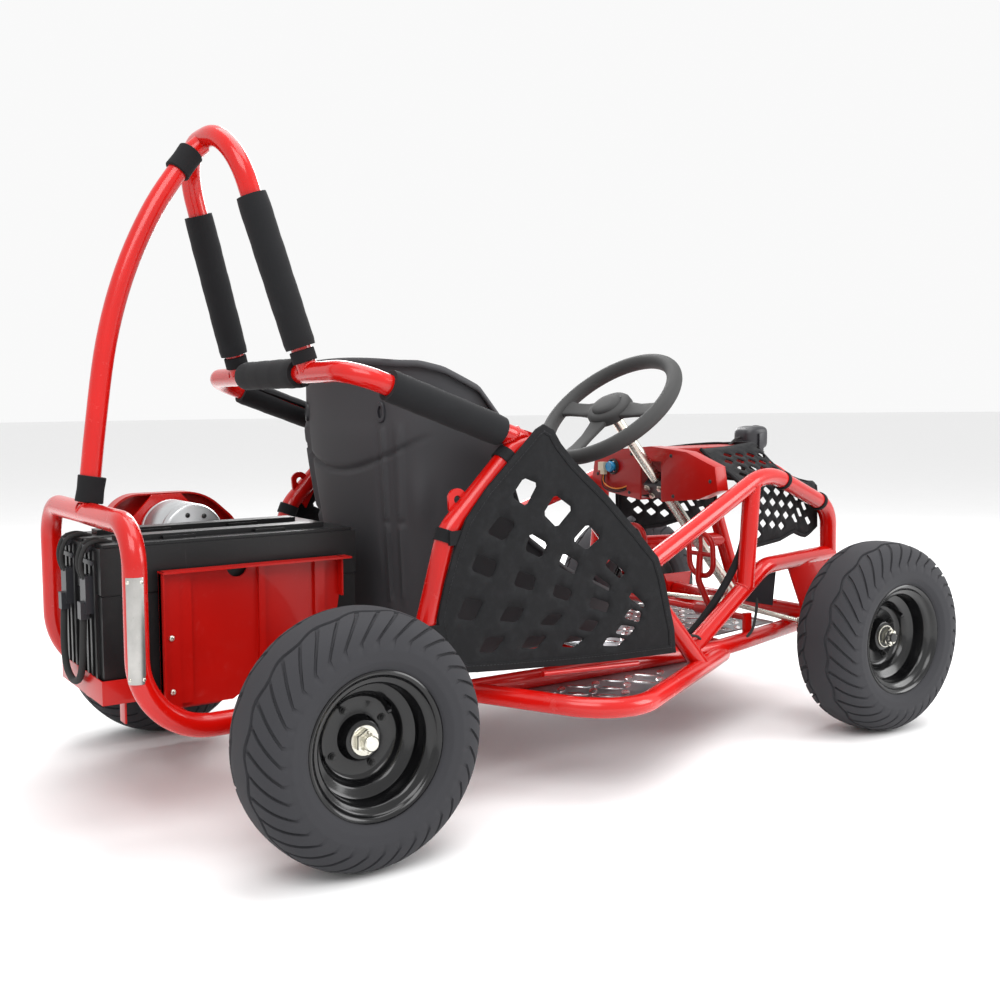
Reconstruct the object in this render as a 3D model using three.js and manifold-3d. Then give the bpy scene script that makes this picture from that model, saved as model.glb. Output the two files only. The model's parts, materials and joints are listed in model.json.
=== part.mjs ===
// Electric off-road kart: a welded tube chassis with its seat, batteries, drive, steering and wheels.
// Millimetres, +X to the driver's right, +Y forward, +Z up. Every piece is laid out from the rear
// axle line and the finished group is shifted so that the origin is on the ground, mid-length.
import * as THREE from 'three';
import { mergeVertices } from 'three/addons/utils/BufferGeometryUtils.js';
import Module from 'manifold-3d';

const wasm = await Module();
wasm.setup();

// Driving dimensions
const GAP = 0.4;               // clearance between pieces that touch
const TUBE_R = 15;             // frame tube radius
const REAR_TUBE_R = 16;        // rear hoop tube radius
const TUBE_SIDES = 8;
const RAIL_X = 203;            // half the distance between the main rails
const RAIL_Z = 152;
const AXLE_Z = 165;            // axle height, equal to the tyre radius
const AXLE_R = 10;
const WHEELBASE = 1071;
const TYRE_R = 165;
const TYRE_HALF_W = 58;
const REAR_WHEEL_X = 366;
const FRONT_WHEEL_X = 318;
const WHEEL_SIDES = 18;
const BEARING_R = 30;          // rear axle bearing housing radius
const HOOP_BACK_Y = -229;      // rear hoop centre line
const HOOP_TOP_Z = 432;
const SEAT_BASE_Z = 187;
const CROSSBAR = [62, 626];    // y and z of the shoulder bar behind the seat
const ARM_X = 250;
const PAD_R = 22.5;
const SIDE_HOOP_X = 256;
const BATTERY_BACK_Y = -242;
const BATTERY_FRONT_Y = 147;
const BATTERY_Z = [184, 397];
const BATTERY_W = 96;
const SPROCKET_X = -245;
const CHAIN_PITCH = 8;
const MOTOR_TEETH = 11;
const AXLE_TEETH = 68;
const MOTOR_Y = -30;
const MOTOR_Z = 375;
const MOTOR_R = 52;
const BRAKE_X = 245;
const KINGPIN_X = 215;
const SPINDLE_R = 8;
const STEER_ARM = 62;          // knuckle arm, from kingpin to tie rod stud
const PITMAN_ARM = 38;
const COLUMN_ANGLE = 0.7191;   // column tilt from vertical, radians
const COLUMN_TOP = [0, 733, 566];
const COLUMN_R = 11;
const COLUMN_LENGTH = 478;
const WHEEL_RING_R = 131;
const PEDAL_Y = 905;
const PEDAL_Z = 190;
const PIN_R = 6;
const FRONT_END_Y = 1233.49;   // foremost facet of the front tyres
const BACK_END_Y = -260.87;    // rearmost loop of the battery cable
const MID_Y = (FRONT_END_Y + BACK_END_Y) / 2;

const RED = 0xd8140c;
const BLACK = 0x17181a;
const PLASTIC = 0x222325;
const STEEL = 0xa9acaf;

// ---------------------------------------------------------------- solids

function toSolid(geometry) {
  const bare = geometry.clone();
  bare.deleteAttribute('normal');
  bare.deleteAttribute('uv');
  const merged = mergeVertices(bare, 1e-4);
  return new wasm.Manifold(new wasm.Mesh({
    numProp: 3,
    vertProperties: new Float32Array(merged.attributes.position.array),
    triVerts: new Uint32Array(merged.index.array),
  }));
}

function toGeometry(solid) {
  const mesh = solid.getMesh();
  const geometry = new THREE.BufferGeometry();
  geometry.setAttribute('position', new THREE.BufferAttribute(new Float32Array(mesh.vertProperties), 3));
  geometry.setIndex(new THREE.BufferAttribute(new Uint32Array(mesh.triVerts), 1));
  return geometry;
}

const join = (...solids) => solids.reduce((whole, piece) => whole.add(piece));
const cut = (solid, ...tools) => tools.reduce((left, tool) => left.subtract(tool), solid);
const overlap = (a, b) => a.intersect(b);

function mirrorX(solid) {
  return solid.mirror([1, 0, 0]);
}

// A path made of straight runs joined by round bends. It gives one ring at each end of a straight
// run and a few inside each bend, so a swept tube carries no needless rings.
class BentPath extends THREE.Curve {
  constructor(corners, bendRadii) {
    super();
    this.points = [];
    this.tangents = [];
    const p = corners.map((corner) => new THREE.Vector3(...corner));
    this.addRing(p[0], p[1].clone().sub(p[0]).normalize());
    for (let i = 1; i < p.length - 1; i += 1) {
      this.addBend(p[i - 1], p[i], p[i + 1], bendRadii[i - 1]);
    }
    const last = p.length - 1;
    this.addRing(p[last], p[last].clone().sub(p[last - 1]).normalize());
  }

  addRing(point, tangent) {
    this.points.push(point.clone());
    this.tangents.push(tangent.clone());
  }

  addBend(before, corner, after, radius) {
    const inward = corner.clone().sub(before).normalize();
    const outward = after.clone().sub(corner).normalize();
    const turn = inward.angleTo(outward);
    const run = radius * Math.tan(turn / 2);
    const start = corner.clone().addScaledVector(inward, -run);
    const axis = inward.clone().cross(outward).normalize();
    const centre = start.clone().addScaledVector(axis.clone().cross(inward), radius);
    const arm = start.clone().sub(centre);
    const rings = Math.max(1, Math.ceil(turn / 0.5));
    for (let i = 0; i <= rings; i += 1) {
      const angle = (turn * i) / rings;
      this.addRing(
        centre.clone().add(arm.clone().applyAxisAngle(axis, angle)),
        inward.clone().applyAxisAngle(axis, angle),
      );
    }
  }

  getSpacedPoints() {
    return this.points;
  }

  getPointAt(u) {
    return this.points[Math.round(u * (this.points.length - 1))];
  }

  getTangentAt(u) {
    return this.tangents[Math.round(u * (this.tangents.length - 1))];
  }
}

function ringShape(radius, sides) {
  const shape = new THREE.Shape();
  for (let i = 0; i < sides; i += 1) {
    const angle = (2 * Math.PI * (i + 0.5)) / sides;
    const x = radius * Math.cos(angle);
    const y = radius * Math.sin(angle);
    if (i === 0) {
      shape.moveTo(x, y);
    } else {
      shape.lineTo(x, y);
    }
  }
  return shape;
}

function tube(corners, radius, bends = [], sides = TUBE_SIDES) {
  const path = new BentPath(corners, bends);
  const steps = path.points.length - 1;
  return toSolid(new THREE.ExtrudeGeometry(ringShape(radius, sides), { steps, extrudePath: path }));
}

function smoothTube(points, radius, steps, sides = TUBE_SIDES) {
  const path = new THREE.CatmullRomCurve3(points.map((point) => new THREE.Vector3(...point)));
  return toSolid(new THREE.ExtrudeGeometry(ringShape(radius, sides), { steps, extrudePath: path }));
}

const rod = (from, to, radius, sides = 10) => tube([from, to], radius, [], sides);

function polygon(points) {
  const shape = new THREE.Shape();
  shape.moveTo(points[0][0], points[0][1]);
  points.slice(1).forEach((point) => shape.lineTo(point[0], point[1]));
  return shape;
}

// Prism over an outline drawn in X and Y, from z0 to z1.
function prismZ(points, z0, z1) {
  const geometry = new THREE.ExtrudeGeometry(polygon(points), { depth: z1 - z0, bevelEnabled: false });
  geometry.translate(0, 0, z0);
  return toSolid(geometry);
}

// Prism over an outline drawn in Y and Z, from x0 to x1.
function prismX(points, x0, x1) {
  const geometry = new THREE.ExtrudeGeometry(polygon(points), { depth: x1 - x0, bevelEnabled: false });
  geometry.applyMatrix4(new THREE.Matrix4().set(0, 0, 1, x0, 1, 0, 0, 0, 0, 1, 0, 0, 0, 0, 0, 1));
  return toSolid(geometry);
}

// Prism over an outline drawn in X and Z, from y0 to y1.
function prismY(points, y0, y1) {
  const flipped = points.map((point) => [point[0], -point[1]]);
  const geometry = new THREE.ExtrudeGeometry(polygon(flipped), { depth: y1 - y0, bevelEnabled: false });
  geometry.applyMatrix4(new THREE.Matrix4().set(1, 0, 0, 0, 0, 0, 1, y0, 0, -1, 0, 0, 0, 0, 0, 1));
  return toSolid(geometry);
}

function box(low, high) {
  const geometry = new THREE.BoxGeometry(high[0] - low[0], high[1] - low[1], high[2] - low[2]);
  geometry.translate((high[0] + low[0]) / 2, (high[1] + low[1]) / 2, (high[2] + low[2]) / 2);
  return toSolid(geometry);
}

// Solid of revolution about an X axis. The profile is a closed list of [x, radius].
function spinX(profile, centre, sides) {
  const points = [...profile, profile[0]].map((point) => new THREE.Vector2(point[1], point[0]));
  const geometry = new THREE.LatheGeometry(points, sides);
  geometry.rotateZ(-Math.PI / 2);
  const solid = toSolid(geometry);
  const outward = solid.volume() > 0 ? solid : flip(geometry);
  return outward.translate(centre);
}

function flip(geometry) {
  const index = geometry.index.array;
  for (let i = 0; i < index.length; i += 3) {
    [index[i + 1], index[i + 2]] = [index[i + 2], index[i + 1]];
  }
  return toSolid(geometry);
}

function hexAlongX(x0, x1, y, z, acrossFlats) {
  const radius = acrossFlats / Math.sqrt(3);
  const corners = [];
  for (let i = 0; i < 6; i += 1) {
    corners.push([y + radius * Math.cos((i * Math.PI) / 3), z + radius * Math.sin((i * Math.PI) / 3)]);
  }
  return prismX(corners, x0, x1);
}

// ---------------------------------------------------------------- the tree of named pieces

const kart = new THREE.Group();
kart.name = 'kart_chassis';
kart.position.y = -MID_Y;

function piece(name, solid, color, roughness = 0.5, metalness = 0) {
  const material = new THREE.MeshStandardMaterial({ color, roughness, metalness });
  const mesh = new THREE.Mesh(toGeometry(solid), material);
  mesh.name = name;
  kart.add(mesh);
  return solid;
}

const redPaint = (name, solid) => piece(name, solid, RED, 0.25, 0.1);
const sides = [['right', 1], ['left', -1]];
const onSide = (solid, sign) => (sign > 0 ? solid : mirrorX(solid));

// ---------------------------------------------------------------- welded frame

const RAIL_LINE = [
  [RAIL_X, 15, RAIL_Z], [RAIL_X, 800, RAIL_Z], [183, 885, RAIL_Z], [118, 1120, RAIL_Z], [112, 1200, RAIL_Z],
];

// Fixed pin that both pedals swing on, carried by a lug on each rail.
function pedalPivot(extra) {
  const pin = rod([-176, PEDAL_Y, PEDAL_Z], [176, PEDAL_Y, PEDAL_Z], PIN_R + extra);
  const lug = box([169 - extra, PEDAL_Y - 8 - extra, 150], [177 + extra, PEDAL_Y + 8 + extra, PEDAL_Z + 9 + extra]);
  return join(pin, lug, mirrorX(lug));
}

function lowerFrameTubes(extra) {
  const mirrored = RAIL_LINE.map(([x, y, z]) => [-x, y, z]).reverse();
  const loop = tube([...RAIL_LINE, ...mirrored], TUBE_R + extra, [70, 70, 60, 30, 30, 60, 70, 70]);
  const crossAt = (y, z, radius) => rod([-RAIL_X, y, z], [RAIL_X, y, z], radius + extra, TUBE_SIDES);
  return join(
    loop,
    crossAt(112, RAIL_Z, TUBE_R - 2),
    crossAt(250, RAIL_Z + 23, 12),
    crossAt(500, RAIL_Z + 23, 12),
    rod([-190, 815, RAIL_Z], [190, 815, RAIL_Z], TUBE_R - 2 + extra, TUBE_SIDES),
    pedalPivot(extra),
  );
}

const bearingHousing = (radius, half) => rod([RAIL_X - half, 0, AXLE_Z], [RAIL_X + half, 0, AXLE_Z], radius, 16);

function motorMountPlate() {
  const outline = [[-88, 300], [-88, 400], [-55, 434], [-5, 434], [28, 400], [28, 300], [70, 168], [22, 168]];
  const plate = prismX(outline, -232, -226);
  const foot = box([-230, 24, 140], [-200, 66, 173]);
  return join(plate, foot);
}

function lowerFrame() {
  const tubes = lowerFrameTubes(0);
  const housings = join(bearingHousing(BEARING_R, 13), mirrorX(bearingHousing(BEARING_R, 13)));
  const axleBore = rod([-300, 0, AXLE_Z], [300, 0, AXLE_Z], AXLE_R + GAP, 16);
  const shaftHole = rod([-240, MOTOR_Y, MOTOR_Z], [-215, MOTOR_Y, MOTOR_Z], 18, 16);
  return cut(join(tubes, housings, cut(motorMountPlate(), shaftHole)), axleBore);
}

const lowerFrameClearance = join(
  lowerFrameTubes(GAP),
  bearingHousing(BEARING_R + GAP, 13 + GAP),
  mirrorX(bearingHousing(BEARING_R + GAP, 13 + GAP)),
);

function rearHoopTubes(extra) {
  const leg = [RAIL_X, -20, 162];
  const low = [RAIL_X, HOOP_BACK_Y, 162];
  const high = [RAIL_X, HOOP_BACK_Y, HOOP_TOP_Z];
  const flipX = ([x, y, z]) => [-x, y, z];
  const hoop = tube([leg, low, high, flipX(high), flipX(low), flipX(leg)], REAR_TUBE_R + extra, [100, 55, 55, 100]);
  const brace = rod([-RAIL_X, -150, 160], [RAIL_X, -150, 160], 12 + extra, TUBE_SIDES);
  return join(hoop, brace);
}

const rearHoopClearance = rearHoopTubes(GAP);

const SPINE_LINE = [
  [0, -227, 436], [0, -214, 549], [0, -194, 672], [0, -163, 774], [0, -118, 866], [0, -66, 938], [0, -38, 966],
];
const rollHoopTube = (extra) => tube(
  [[123, CROSSBAR[0], CROSSBAR[1]], [92, -40, 968], [-92, -40, 968], [-123, CROSSBAR[0], CROSSBAR[1]]],
  TUBE_R + extra,
  [86, 86],
);
const spineTube = (extra) => smoothTube(SPINE_LINE, TUBE_R + extra, 12);
const shoulderTube = (extra) => tube(
  [
    [-ARM_X, 345, 525], [-ARM_X, CROSSBAR[0], CROSSBAR[1]],
    [ARM_X, CROSSBAR[0], CROSSBAR[1]], [ARM_X, 345, 525],
  ],
  TUBE_R + extra,
  [48, 48],
);

function sideHoopTube(extra) {
  const corners = [
    [RAIL_X, 150, RAIL_Z], [SIDE_HOOP_X, 160, 232], [SIDE_HOOP_X, 208, 400], [SIDE_HOOP_X, 356, 546],
    [250, 716, 138],
  ];
  return tube(corners, TUBE_R + extra, [35, 70, 62]);
}

const stepTube = (extra) => tube(
  [[RAIL_X, 285, 148], [397, 422, 138], [RAIL_X, 810, 142]], TUBE_R + extra, [105],
);
const sideFrameTubes = (extra) => join(sideHoopTube(extra), stepTube(extra));

function frontFrameTubes(extra) {
  const radius = TUBE_R + extra;
  const upper = tube(
    [[SIDE_HOOP_X, 578, 316], [182, 940, 452], [148, 1148, 374], [112, 1198, 156]], radius, [150, 70],
  );
  const lower = tube([[RAIL_X, 728, RAIL_Z], [191, 925, 284], [133, 1172, 283]], radius, [70]);
  const upright = rod([196, 874, 252], [194, 890, 430], radius, TUBE_SIDES);
  const halfArch = tube([[155, 1098, 392], [70, 1096, 440], [0.4 - extra, 1095, 466]], 11 + extra, [60]);
  return join(upper, lower, upright, halfArch);
}

redPaint('lower_frame', lowerFrame());
redPaint('rear_hoop', cut(rearHoopTubes(0), lowerFrameClearance));
redPaint('roll_hoop', cut(rollHoopTube(0), shoulderTube(GAP)));
redPaint('roll_spine', cut(spineTube(0), rearHoopClearance, rollHoopTube(GAP)));

const sideClearance = join(sideFrameTubes(GAP), mirrorX(sideFrameTubes(GAP)));
redPaint('shoulder_bar', cut(shoulderTube(0), sideClearance));

const frontClearance = join(frontFrameTubes(GAP), mirrorX(frontFrameTubes(GAP)));
const rightSideFrame = cut(sideFrameTubes(0), lowerFrameClearance);
const farHalf = box([-60, 1060, 430], [0.3, 1130, 500]);
const rightFrontFrame = cut(frontFrameTubes(0), lowerFrameClearance, sideFrameTubes(GAP), farHalf);
sides.forEach(([side, sign]) => {
  redPaint(`side_frame_${side}`, onSide(rightSideFrame, sign));
  redPaint(`front_frame_${side}`, onSide(rightFrontFrame, sign));
});

function spineCollar(from, to, radius) {
  return cut(rod(from, to, radius), spineTube(GAP), rearHoopClearance, rollHoopTube(GAP));
}

piece('spine_collar_rear', spineCollar([0, -225, 452], [0, -220, 482], 20), BLACK, 0.7);
piece('spine_collar_top', spineCollar([0, -82, 918], [0, -60, 946], 19.5), BLACK, 0.7);

// ---------------------------------------------------------------- plates

const frameClearance = join(lowerFrameClearance, sideClearance, frontClearance);

function floorPlate() {
  const outline = [[-186, 560], [186, 560], [182, 800], [150, 1000], [-150, 1000], [-182, 800]];
  const plate = prismZ(outline, RAIL_Z + TUBE_R + GAP, RAIL_Z + TUBE_R + GAP + 2.5);
  return cut(plate, frontClearance);
}

function stepPlate() {
  const outline = [[212, 320], [318, 385], [352, 440], [346, 490], [222, 740], [212, 740]];
  return cut(prismZ(outline, 139, 142), frameClearance);
}

piece('floor_plate', floorPlate(), STEEL, 0.35, 0.9);
sides.forEach(([side, sign]) => piece(`step_plate_${side}`, onSide(stepPlate(), sign), STEEL, 0.35, 0.9));

// ---------------------------------------------------------------- batteries

function batteryTray() {
  const low = [-98, -246, 180.5];
  const high = [104, 151, 214];
  const inner = box([low[0] + 2, low[1] + 2, low[2] + 2], [high[0] - 2, high[1] - 2, high[2] + 5]);
  const tray = cut(box(low, high), inner);
  const cutOuts = [-150, -20, 110].map((y) => box([-120, y - 30, 192], [130, y + 30, 230]));
  const tab = (x) => box([x, -214, 150], [x + 22, -211, 182]);
  return cut(join(cut(tray, ...cutOuts), tab(-92), tab(76)), rearHoopClearance);
}

function batteryCase(x0) {
  const x1 = x0 + BATTERY_W;
  const outer = box([x0, BATTERY_BACK_Y, BATTERY_Z[0]], [x1, BATTERY_FRONT_Y, BATTERY_Z[1]]);
  const wall = 4;
  const inner = box(
    [x0 + wall, BATTERY_BACK_Y + wall, BATTERY_Z[0] + wall], [x1 - wall, BATTERY_FRONT_Y - wall, BATTERY_Z[1] - wall],
  );
  const seamCut = cut(
    box([x0 - 1, BATTERY_BACK_Y - 1, 356], [x1 + 1, BATTERY_FRONT_Y + 1, 359]),
    box([x0 + 1.5, BATTERY_BACK_Y + 1.5, 350], [x1 - 1.5, BATTERY_FRONT_Y - 1.5, 365]),
  );
  const cableHole = rod([x0 + BATTERY_W / 2, -260, 330], [x0 + BATTERY_W / 2, -230, 330], 8);
  const handle = box([x0 + 30, -200, 390], [x1 - 30, 105, 404]);
  return join(cut(outer, inner, seamCut, cableHole), cut(handle, inner));
}

const caseStarts = { right: 3, left: -95 };
Object.entries(caseStarts).forEach(([side, x0]) => {
  piece(`battery_case_${side}`, batteryCase(x0), PLASTIC, 0.5);
  const pack = box([x0 + 5, BATTERY_BACK_Y + 20, 189], [x0 + BATTERY_W - 5, BATTERY_FRONT_Y - 20, 372]);
  const terminals = [-200, 100].map((y) => rod([x0 + 48, y, 371], [x0 + 48, y, 384], 6));
  piece(`battery_pack_${side}`, join(pack, ...terminals), 0x3a4048, 0.6);
});
piece('battery_tray', batteryTray(), RED, 0.3);

function batteryBracket() {
  const outline = [
    [-163, 166], [-163, 357], [112, 357], [112, 296], [96, 206], [20, 206], [-20, 190], [-60, 166],
  ];
  const plate = prismX(outline, 107, 109.5);
  const topFlange = box([107, -163, 355], [128, 112, 357.5]);
  const backFlange = box([107, -165, 168], [126, -162.5, 357.5]);
  const frontFlange = box([107, 110, 300], [124, 112.5, 357.5]);
  const notch = rod([100, -50, 360], [140, -50, 360], 16);
  return cut(join(plate, topFlange, backFlange, frontFlange), notch, rearHoopClearance);
}

redPaint('battery_bracket', batteryBracket());

function batteryCable() {
  const left = [-47, BATTERY_BACK_Y - 1, 330];
  const right = [51, BATTERY_BACK_Y - 1, 330];
  const leads = [
    left, [-47, -254, 322], [-46, -256, 290], [-36, -256, 250], [0, -256, 226],
    [38, -256, 250], [50, -256, 290], [51, -254, 322], right,
  ];
  return smoothTube(leads, 5, 20, 8);
}

piece('battery_cable', batteryCable(), BLACK, 0.6);

// ---------------------------------------------------------------- drive

const pitchRadius = (teeth) => CHAIN_PITCH / 2 / Math.sin(Math.PI / teeth);
const MOTOR_PITCH_R = pitchRadius(MOTOR_TEETH);
const AXLE_PITCH_R = pitchRadius(AXLE_TEETH);

function motor() {
  const can = spinX([[-225, 0], [-225, 46], [-219, MOTOR_R], [-110, MOTOR_R], [-104, 46], [-104, 0]], [0, 0, 0], 24);
  const saddle = box([-215, -30, -62], [-115, 30, -40]);
  return join(can, saddle).translate([0, MOTOR_Y, MOTOR_Z]);
}

function motorSprocket() {
  const disc = rod([SPROCKET_X - 2, 0, 0], [SPROCKET_X + 2, 0, 0], MOTOR_PITCH_R - 2.6, MOTOR_TEETH);
  const shaft = rod([-225 - GAP, 0, 0], [-256, 0, 0], 6);
  return join(disc, shaft).translate([0, MOTOR_Y, MOTOR_Z]);
}

function axleSprocket() {
  const disc = rod([SPROCKET_X - 2, 0, 0], [SPROCKET_X + 2, 0, 0], AXLE_PITCH_R - 2.6, 28);
  const hub = rod([SPROCKET_X - 10, 0, 0], [SPROCKET_X + 10, 0, 0], 24, 16);
  const windows = [0, 1, 2, 3, 4].map((i) => {
    const angle = (i * 2 * Math.PI) / 5;
    const y = 52 * Math.cos(angle);
    const z = 52 * Math.sin(angle);
    return rod([SPROCKET_X - 5, y, z], [SPROCKET_X + 5, y, z], 17, 8);
  });
  const bore = rod([-300, 0, 0], [-180, 0, 0], AXLE_R + GAP, 16);
  return cut(join(cut(disc, ...windows), hub), bore).translate([0, 0, AXLE_Z]);
}

// The chain is a closed loop around both sprockets.
function chain() {
  const tall = Math.hypot(MOTOR_Y, MOTOR_Z - AXLE_Z);
  const lean = Math.atan2(MOTOR_Z - AXLE_Z, MOTOR_Y);
  const wrap = Math.acos((AXLE_PITCH_R - MOTOR_PITCH_R) / tall);
  const loop = (extra) => {
    const points = [];
    const arc = (y, z, radius, from, to, count) => {
      for (let i = 0; i <= count; i += 1) {
        const angle = from + ((to - from) * i) / count;
        points.push([y + (radius + extra) * Math.cos(angle), z + (radius + extra) * Math.sin(angle)]);
      }
    };
    arc(MOTOR_Y, MOTOR_Z, MOTOR_PITCH_R, lean - wrap, lean + wrap, 5);
    arc(0, AXLE_Z, AXLE_PITCH_R, lean + wrap, lean - wrap + 2 * Math.PI, 20);
    return points;
  };
  return cut(
    prismX(loop(3.5), SPROCKET_X - 4, SPROCKET_X + 4), prismX(loop(-2), SPROCKET_X - 6, SPROCKET_X + 6),
  );
}

function chainGuard() {
  const outline = [
    [-134, 300], [-134, 418], [-118, 436], [30, 436], [70, 420], [96, 385], [104, 340],
    [104, 120], [70, 66], [-70, 66], [-104, 120], [-104, 240],
  ];
  const inner = outline.map(([y, z]) => [y * 0.975 - 0.3, (z - 252) * 0.984 + 252]);
  const tray = cut(prismX(outline, -266, -238), prismX(inner, -264, -230));
  return cut(tray, rod([-280, 0, AXLE_Z], [-230, 0, AXLE_Z], 18, 16));
}

piece('motor', motor(), STEEL, 0.35, 0.8);
piece('motor_sprocket', motorSprocket(), STEEL, 0.4, 0.9);
piece('chain', chain(), 0x4a4640, 0.45, 0.9);
redPaint('chain_guard', chainGuard());

function controller() {
  const body = box([-186, -205, 222], [-108, -105, 318]);
  const fins = [0, 1, 2, 3, 4].map((i) => box([-192, -198 + i * 20, 226], [-184, -194 + i * 20, 314]));
  const foot = box([-110, -190, 196], [-99, -120, 226]);
  return join(body, ...fins, foot);
}

piece('controller', controller(), STEEL, 0.4, 0.8);

// ---------------------------------------------------------------- rear axle and wheels

const HUB_END = 14;            // hub face, outboard of the wheel centre
function rearAxle() {
  const shaft = rod([-402, 0, AXLE_Z], [402, 0, AXLE_Z], AXLE_R, 16);
  const face = REAR_WHEEL_X + HUB_END + GAP;
  const washer = rod([face, 0, AXLE_Z], [face + 3, 0, AXLE_Z], 20, 16);
  const nut = hexAlongX(face + 2.5, face + 15, 0, AXLE_Z, 28);
  return join(shaft, washer, nut, mirrorX(washer), mirrorX(nut));
}

function brakeDisc() {
  const disc = rod([BRAKE_X - 2, 0, 0], [BRAKE_X + 2, 0, 0], 72, 24);
  const hub = rod([BRAKE_X - 20, 0, 0], [BRAKE_X + 10, 0, 0], 24, 16);
  const holes = [0, 1, 2, 3, 4, 5].map((i) => {
    const y = 46 * Math.cos((i * Math.PI) / 3);
    const z = 46 * Math.sin((i * Math.PI) / 3);
    return rod([BRAKE_X - 5, y, z], [BRAKE_X + 5, y, z], 9, 6);
  });
  const bore = rod([180, 0, 0], [300, 0, 0], AXLE_R + GAP, 16);
  return cut(join(cut(disc, ...holes), hub), bore).translate([0, 0, AXLE_Z]);
}

function brakeCaliper() {
  const body = box([BRAKE_X - 22, 34, 194], [BRAKE_X + 20, 78, 236]);
  const slot = box([BRAKE_X - 3.5, 20, 150], [BRAKE_X + 3.5, 76, 236.5]);
  const bracket = box([RAIL_X - 8, 84, 160], [RAIL_X + 44, 90, 226]);
  const arm = box([BRAKE_X - 24, 70, 200], [BRAKE_X - 8, 88, 226]);
  return cut(join(cut(body, slot), arm, bracket), lowerFrameClearance);
}

function tyre() {
  const profile = [
    [-50, 92], [-58, 114], [-52, 144], [-34, 160], [0, TYRE_R], [34, 160], [52, 144],
    [58, 114], [50, 92], [43, 92], [49, 120], [36, 148], [-36, 148], [-49, 120], [-43, 92],
  ];
  return spinX(profile, [0, 0, 0], WHEEL_SIDES);
}

// Pressed steel rim: barrel, stepped disc and hub sleeve in one piece.
function rim(boreRadius) {
  const profile = [
    [47.6, 91.5], [40, 73], [16, 71], [12, 56], [-2, 50], [-2, 28], [HUB_END, 24], [HUB_END, boreRadius],
    [-34, boreRadius], [-34, 20], [-8, 24], [-8, 56], [-40, 73], [-47.6, 91.5],
    [-42.4, 91.5], [-36, 77], [-8, 62], [10, 62], [14, 75], [36, 77], [42.4, 91.5],
  ];
  return spinX(profile, [0, 0, 0], WHEEL_SIDES);
}

piece('rear_axle', rearAxle(), STEEL, 0.35, 0.9);
piece('axle_sprocket', axleSprocket(), STEEL, 0.4, 0.9);
piece('brake_disc', brakeDisc(), STEEL, 0.3, 0.9);
piece('brake_caliper', brakeCaliper(), BLACK, 0.4, 0.4);

sides.forEach(([side, sign]) => {
  const rear = [sign * REAR_WHEEL_X, 0, AXLE_Z];
  const front = [sign * FRONT_WHEEL_X, WHEELBASE, AXLE_Z];
  piece(`tyre_rear_${side}`, onSide(tyre(), sign).translate(rear), BLACK, 0.85);
  piece(`rim_rear_${side}`, onSide(rim(AXLE_R + GAP), sign).translate(rear), BLACK, 0.25, 0.6);
  piece(`tyre_front_${side}`, onSide(tyre(), sign).translate(front), BLACK, 0.85);
  piece(`rim_front_${side}`, onSide(rim(SPINDLE_R + GAP), sign).translate(front), BLACK, 0.25, 0.6);
});

// ---------------------------------------------------------------- front axle and steering

const studX = KINGPIN_X - 6;
const studY = WHEELBASE - STEER_ARM;

function frontAxleBeam() {
  const beam = rod([-196, WHEELBASE, 182], [196, WHEELBASE, 182], 13.5, TUBE_SIDES);
  const yoke = () => {
    const back = box([188, WHEELBASE - 15, 128], [196, WHEELBASE + 15, 202]);
    const ear = (z) => box([190, WHEELBASE - 15, z], [KINGPIN_X + 14, WHEELBASE + 15, z + 6]);
    const pin = rod([KINGPIN_X, WHEELBASE, 126], [KINGPIN_X, WHEELBASE, 206], 6);
    return join(back, ear(130), ear(194), pin);
  };
  return cut(join(beam, yoke(), mirrorX(yoke())), lowerFrameClearance);
}

function knuckle() {
  const barrel = rod([KINGPIN_X, WHEELBASE, 136 + GAP], [KINGPIN_X, WHEELBASE, 194 - GAP], 13, 14);
  const hubFace = FRONT_WHEEL_X - 34 - GAP;
  const shoulder = rod([KINGPIN_X, WHEELBASE, AXLE_Z], [hubFace, WHEELBASE, AXLE_Z], 12);
  const outerFace = FRONT_WHEEL_X + HUB_END + GAP;
  const spindle = rod([KINGPIN_X + 7, WHEELBASE, AXLE_Z], [outerFace + 18, WHEELBASE, AXLE_Z], SPINDLE_R);
  const washer = rod([outerFace, WHEELBASE, AXLE_Z], [outerFace + 3, WHEELBASE, AXLE_Z], 18, 16);
  const nut = hexAlongX(outerFace + 2.5, outerFace + 13, WHEELBASE, AXLE_Z, 24);
  const arm = prismZ(
    [[KINGPIN_X - 8, WHEELBASE], [KINGPIN_X + 12, WHEELBASE], [studX + 9, studY - 6], [studX - 8, studY - 6]], 158, 166,
  );
  const stud = rod([studX, studY, 160], [studX, studY, 190], 4, 10);
  const bore = rod([KINGPIN_X, WHEELBASE, 100], [KINGPIN_X, WHEELBASE, 230], 6 + GAP);
  return cut(join(barrel, shoulder, spindle, washer, nut, arm, stud), bore);
}

function tieRod() {
  const eye = rod([studX, studY, 166 + GAP], [studX, studY, 184], 10, 14);
  const bar = rod([studX - 4, studY, 176], [17, 1021, 184], 5, 10);
  const boss = rod([30, 1020.5, 183.5], [17, 1021, 184], 8, 10);
  return cut(join(eye, bar, boss), rod([studX, studY, 150], [studX, studY, 200], 4 + GAP, 10));
}

redPaint('front_axle_beam', frontAxleBeam());
sides.forEach(([side, sign]) => {
  piece(`knuckle_${side}`, onSide(knuckle(), sign), BLACK, 0.4, 0.6);
  piece(`tie_rod_${side}`, onSide(tieRod(), sign), STEEL, 0.35, 0.9);
});

// Along the column from its top: a point this far down the axis.
const down = [0, Math.sin(COLUMN_ANGLE), -Math.cos(COLUMN_ANGLE)];
const columnPoint = (distance) => COLUMN_TOP.map((value, i) => value + down[i] * distance);
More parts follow.
